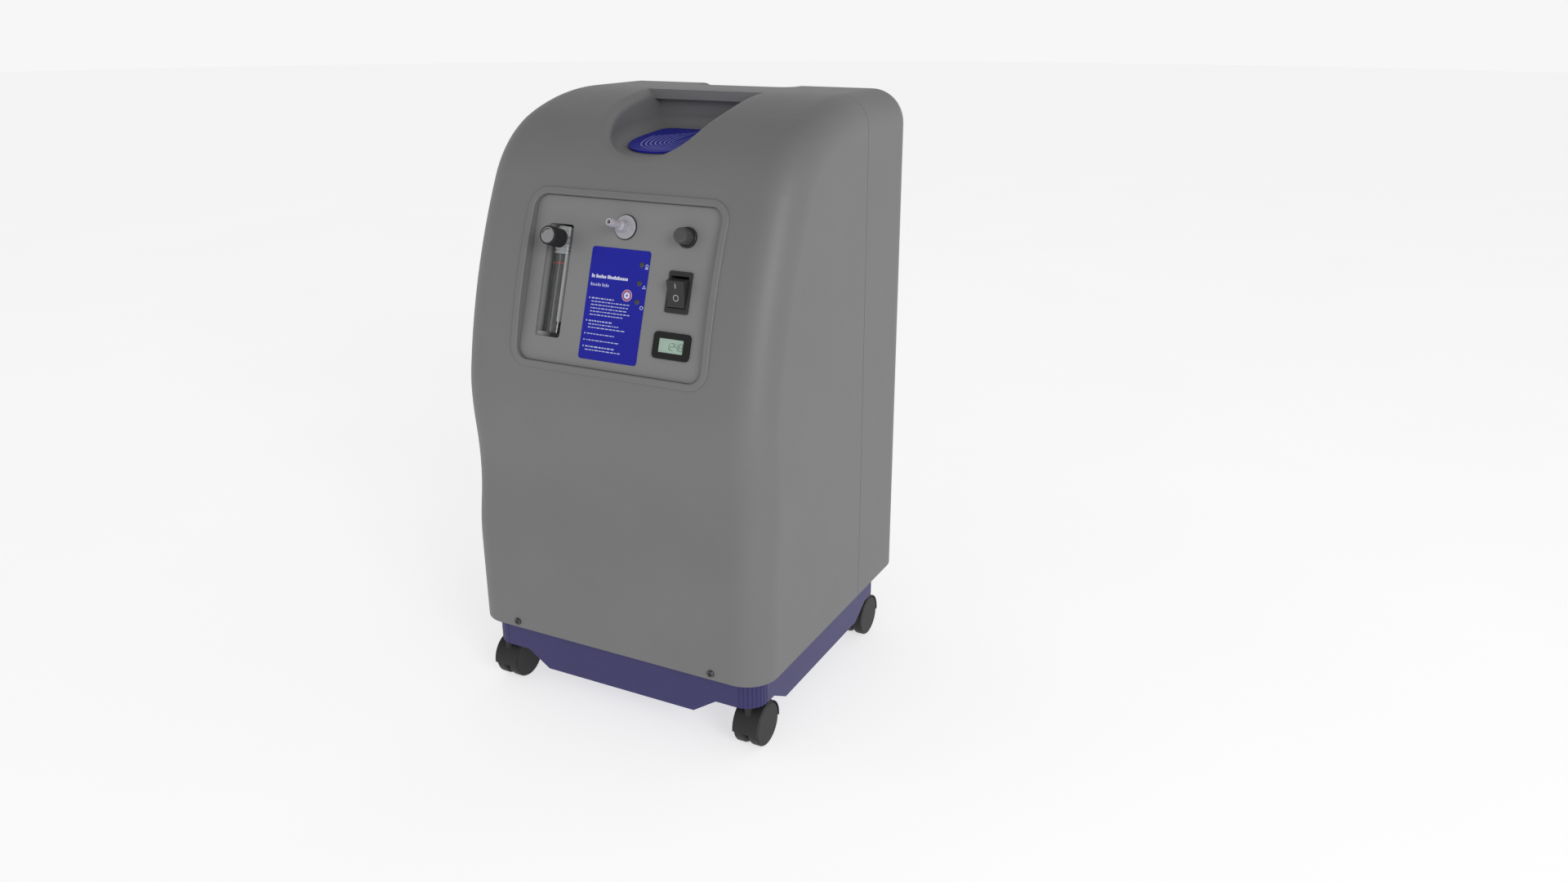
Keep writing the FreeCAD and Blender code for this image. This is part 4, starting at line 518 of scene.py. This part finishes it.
def greek(marks, u, v, tall, wide, gap, words, chance):
    """Stand-in lettering: a plain upright block for each letter."""
    for count in words:
        for letter in range(count):
            height = tall if letter == 0 else tall * chance.choice((0.7, 0.7, 0.95))
            low = v - tall / 2
            marks.solid([(u, low), (u + wide, low), (u + wide, low + height), (u, low + height)])
            u += wide + gap
        u += wide * 0.8


def print_headings(centre, white, pale, chance):
    """Two rows of blank blocks, where a label has its title."""
    left = centre.x - 28.5 * MM
    heading = PrintAndShadeMarks("label_heading", "panel_label", white, "white_moulding")
    greek(heading, left, centre.y + 25 * MM, tall=3.3 * MM, wide=1.45 * MM, gap=0.42 * MM,
          words=(2, 6, 12), chance=chance)
    heading.finish()
    second = PrintAndShadeMarks("label_second_line", "panel_label", pale, "white_moulding")
    greek(second, left, centre.y + 17.3 * MM, tall=3.0 * MM, wide=1.2 * MM, gap=0.75 * MM,
          words=(6, 4), chance=chance)
    second.finish()


def print_paragraphs(centre, pale, chance):
    """Rows of short dashes in five blocks, each led by a dot."""
    lines = PrintAndShadeMarks("label_lines", "panel_label", pale, "white_moulding")
    left = centre.x - 25.5 * MM
    right = centre.x + 21 * MM
    pitch = 3.05 * MM
    word_gap = 0.62 * MM
    tops_and_rows = ((4.6, 6), (-16.4, 3), (-28.3, 1), (-34.2, 1), (-40.1, 2))
    for top, count in tops_and_rows:
        heading_v = centre.y + top * MM
        lines.solid(circle(left - 2.2 * MM, heading_v, 0.75 * MM, 12))
        for row in range(count):
            reach = left
            end = right - chance.uniform(0, 0.32 if row else 0.5) * (right - left)
            v = heading_v - row * pitch
            while reach < end:
                word = chance.uniform(1.4, 4.6) * MM
                tall = (1.3 if row == 0 and count > 1 else 0.95) * MM
                lines.solid(bar(reach + word / 2, v, word, tall, 3))
                reach += word + word_gap
    lines.finish()


def print_sign(centre, white):
    """A plain round sign: a pale disc in a red ring with a white rim."""
    u = centre.x + 12.3 * MM
    v = centre.y + 10.3 * MM
    bands = (
        ("label_disc", ink_and_painted_light("ink_disc", (0.55, 0.56, 0.72)), 3.3, 0.9),
        ("label_ring", ink_and_painted_light("ink_red", (0.50, 0.055, 0.075)), 4.9, 3.9),
        ("label_rim", white, 5.3, 4.95),
    )
    for name, look, outer, inner in bands:
        band = PrintAndShadeMarks(name, "panel_label", look, "white_moulding")
        band.ring(circle(u, v, outer * MM), circle(u, v, inner * MM))
        band.finish()


def print_symbols(white):
    """A mark beside each status lens: a ring over a stroke, a triangle and a ring."""
    marks = PrintAndShadeMarks("label_symbols", "panel_label", white, "white_moulding")
    row_inset = 2.0 * MM
    low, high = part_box("status_lenses")
    top = (TO_PANEL @ high).y
    bottom = (TO_PANEL @ low).y
    rows = [top - row_inset, (top + bottom) / 2, bottom + row_inset]
    side = spot("status_lenses").x + 5.6 * MM
    upper_v, triangle_v, lower_v = (v - 3.2 * MM for v in rows)
    ring_v = upper_v + 1.0 * MM
    marks.ring(circle(side, ring_v, 1.5 * MM, 20), circle(side, ring_v, 1.05 * MM, 20))
    marks.solid(bar(side, upper_v - 1.3 * MM, 3.6 * MM, 0.8 * MM, 4))
    corners = [(side + 2.2 * MM * math.cos(a), triangle_v + 2.2 * MM * math.sin(a))
               for a in (math.pi / 2, math.pi * 7 / 6, math.pi * 11 / 6)]
    marks.ring(corners, offset_polygon(corners, (side, triangle_v), 0.66))
    marks.ring(circle(side, lower_v, 1.7 * MM, 24), circle(side, lower_v, 1.25 * MM, 24))
    marks.finish()


def print_label():
    """Generic marks on the label, none of them lettering."""
    white = ink_and_painted_light("ink_white", (0.62, 0.64, 0.78))
    pale = ink_and_painted_light("ink_pale", (0.40, 0.42, 0.66))
    centre = spot("panel_label")
    chance = random.Random(7)
    print_headings(centre, white, pale, chance)
    print_paragraphs(centre, pale, chance)
    print_sign(centre, white)
    print_symbols(white)


def print_rocker():
    """The power marks on the key: a stroke above, a ring below."""
    at = spot("rocker_frame")
    marks = PrintAndShadeMarks("rocker_marks", "rocker_key", ink_and_painted_light("ink_rocker", (0.36, 0.36, 0.37)), "white_moulding",
                  "rocker_key")
    stroke_v = at.y + 3.6 * MM
    marks.solid([(at.x + 0.45 * MM * side_u, stroke_v + 2.0 * MM * side_v)
                 for side_u, side_v in ((-1, -1), (1, -1), (1, 1), (-1, 1))])
    ring_v = at.y - 6.6 * MM
    marks.ring(circle(at.x, ring_v, 2.9 * MM, 48), circle(at.x, ring_v, 2.2 * MM, 48))
    marks.finish()


def paint_knob_shade():
    """Painted shade: a dark arc near the rim of the knob's cap."""
    at = spot("flow_knob_cap")
    low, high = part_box("flow_knob_cap")
    radius = (high.x - low.x) / 2
    # Painted shade: a dark arc stands for the shade just inside the cap's rim.
    look = ink_and_painted_light("knob_arc_painted_shade", (0.012, 0.012, 0.013))
    shade_arc = PrintAndShadeMarks("knob_shade_arc", "flow_knob_cap", look, "knob_black", "flow_knob")
    outer = radius * 0.84
    inner = radius * 0.70
    steps = [math.radians(72 + 100 * i / 16) for i in range(17)]
    outline = [(at.x + outer * math.cos(a), at.y + outer * math.sin(a)) for a in steps]
    outline += [(at.x + inner * math.cos(a), at.y + inner * math.sin(a)) for a in reversed(steps)]
    shade_arc.solid(outline)
    shade_arc.finish()


SEGMENTS = {"1": "bc", "2": "abged", "4": "fgbc", "8": "abcdefg"}
SEGMENT_ENDS = {
    "a": ((-1, 1), (1, 1)),
    "b": ((1, 1), (1, 0)),
    "c": ((1, 0), (1, -1)),
    "d": ((-1, -1), (1, -1)),
    "e": ((-1, 0), (-1, -1)),
    "f": ((-1, 1), (-1, 0)),
    "g": ((-1, 0), (1, 0)),
}


def print_hours():
    """Seven-segment digits on the hour meter's display."""
    at = spot("hour_meter_screen")
    tall, wide, stroke = 6.4 * MM, 3.2 * MM, 0.5 * MM
    slant = 0.25 * MM
    pitch = 4.6 * MM
    half = tall / 2
    v = at.y - 0.4 * MM
    digits = PrintAndShadeMarks("meter_digits", "hour_meter_screen", ink_and_painted_light("lcd_dark", (0.075, 0.10, 0.085), 0.4), "lcd")
    for place, digit in enumerate("1248"):
        u = at.x - 3.6 * MM + place * pitch
        for key in SEGMENTS[digit]:
            (x0, y0), (x1, y1) = SEGMENT_ENDS[key]
            start = Vector((u + x0 * wide / 2 + y0 * slant, v + y0 * half))
            end = Vector((u + x1 * wide / 2 + y1 * slant, v + y1 * half))
            along = (end - start).normalized()
            across = Vector((-along.y, along.x)) * stroke / 2
            start = start + along * stroke * 0.6
            end = end - along * stroke * 0.6
            tip = along * stroke / 2
            outline = [start - tip, start - across, end - across, end + tip, end + across, start + across]
            digits.solid([tuple(point) for point in outline])
    digits.finish()


def tube_mark(shape, axis_at, up, radius, v, tall, reach_from, reach_to, count):
    """A band laid round part of the flow tube, used for the printed line and the painted highlight, angles
    measured from the panel's way out.
    """
    out = PANEL.to_3x3() @ Vector((0, 0, 1))
    side = Vector((1, 0, 0))
    rows = []
    for lift in (-tall / 2, tall / 2):
        for grow in (TUBE_GAP, TUBE_GAP + MARK_THICK):
            row = []
            for i in range(count + 1):
                angle = math.radians(reach_from + (reach_to - reach_from) * i / count)
                way = out * math.cos(angle) + side * math.sin(angle)
                row.append(shape.verts.new(axis_at + up * (v + lift) + way * (radius + grow)))
            rows.append(row)
    order = (rows[0], rows[1], rows[3], rows[2])
    for i in range(count):
        for a, b in zip(order, order[1:] + order[:1]):
            shape.faces.new((a[i], a[i + 1], b[i + 1], b[i]))
    for end in (0, count):
        shape.faces.new([row[end] for row in order])


def mark_flow_limit_and_highlight():
    """The red limit line, and a painted highlight strip down the flow tube's right side."""
    low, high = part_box("flow_tube")
    radius = (high.x - low.x) / 2
    up = PANEL.to_3x3() @ Vector((0, 1, 0))
    centre = middle("flow_tube")
    red = bmesh.new()
    tube_mark(red, centre, up, radius, v=28 * MM, tall=0.7 * MM, reach_from=-38, reach_to=42, count=24)
    piece("flow_limit_line", red, ink_and_painted_light("ink_limit", (0.42, 0.03, 0.03)), "housing")
    # Painted highlight: a pale strip down the tube's right side, where the glass shows a bright stripe.
    highlight_strip = bmesh.new()
    tube_mark(highlight_strip, centre, up, radius, v=5.5 * MM, tall=63 * MM, reach_from=34, reach_to=62, count=10)
    piece("flow_painted_highlight", highlight_strip, ink_and_painted_light("tube_highlight_paint", (0.33, 0.33, 0.335)), "housing")


# ---------------------------------------------------------------- stage

def make_camera():
    data = bpy.data.cameras.new("camera")
    data.lens = CAMERA_LENS
    data.sensor_width = 36
    data.clip_start = 0.01
    camera = bpy.data.objects.new("camera", data)
    camera.location = CAMERA_AT
    camera.rotation_euler = (math.radians(90 - CAMERA_PITCH), 0, math.radians(CAMERA_AZIMUTH))
    bpy.context.scene.collection.objects.link(camera)
    bpy.context.scene.camera = camera


def make_floor():
    """A wide pale floor just under the wheels."""
    shape = bmesh.new()
    bmesh.ops.create_circle(shape, cap_ends=True, segments=96, radius=14)
    mesh = bpy.data.meshes.new("floor")
    shape.to_mesh(mesh)
    shape.free()
    look, tree, shader = blank("floor_pale", Roughness=0.9, Specular_IOR_Level=0.0,
                               Emission_Strength=0.62, Emission_Color=(1, 1, 1, 1))
    tree.links.new(ramp(tree, grain(tree, 3, 2), (0.515, 0.515, 0.515), (0.525, 0.525, 0.525)),
                   shader.inputs["Base Color"])
    mesh.materials.append(look)
    floor = bpy.data.objects.new("floor", mesh)
    floor.location.z = CAD_BOX[0][2] - 0.0002
    bpy.context.scene.collection.objects.link(floor)


def make_world():
    """A white room, dimmer overhead."""
    world = bpy.data.worlds.new("room")
    bpy.context.scene.world = world
    world.use_nodes = True
    tree = world.node_tree
    place = tree.nodes.new("ShaderNodeTexCoord")
    split = tree.nodes.new("ShaderNodeSeparateXYZ")
    tree.links.new(place.outputs["Generated"], split.inputs["Vector"])
    tone = ramp(tree, split.outputs["Z"], (0.93, 0.93, 0.93), (0.38, 0.38, 0.385), 0.13, 0.85)
    tree.links.new(tone, tree.nodes["Background"].inputs["Color"])


def area_light(name, at, aim, size, power):
    data = bpy.data.lights.new(name, "AREA")
    data.shape = "DISK"
    data.size = size
    data.energy = power
    light = bpy.data.objects.new(name, data)
    light.location = at
    light.rotation_euler = (Vector(aim) - Vector(at)).to_track_quat("-Z", "Y").to_euler()
    light.visible_camera = False
    bpy.context.scene.collection.objects.link(light)


def make_stage():
    bpy.context.scene.view_settings.view_transform = "Standard"
    make_camera()
    make_floor()
    make_world()
    area_light("soft_right", at=(2.60, -1.95, 1.55), aim=(0, 0, 0.42), size=1.5, power=41)


# ---------------------------------------------------------------- all together

make_stage()
dress_nodes()
print_label()
print_rocker()
paint_knob_shade()
print_hours()
mark_flow_limit_and_highlight()


def corners(box):
    return [[float(value) for value in corner] for corner in box]
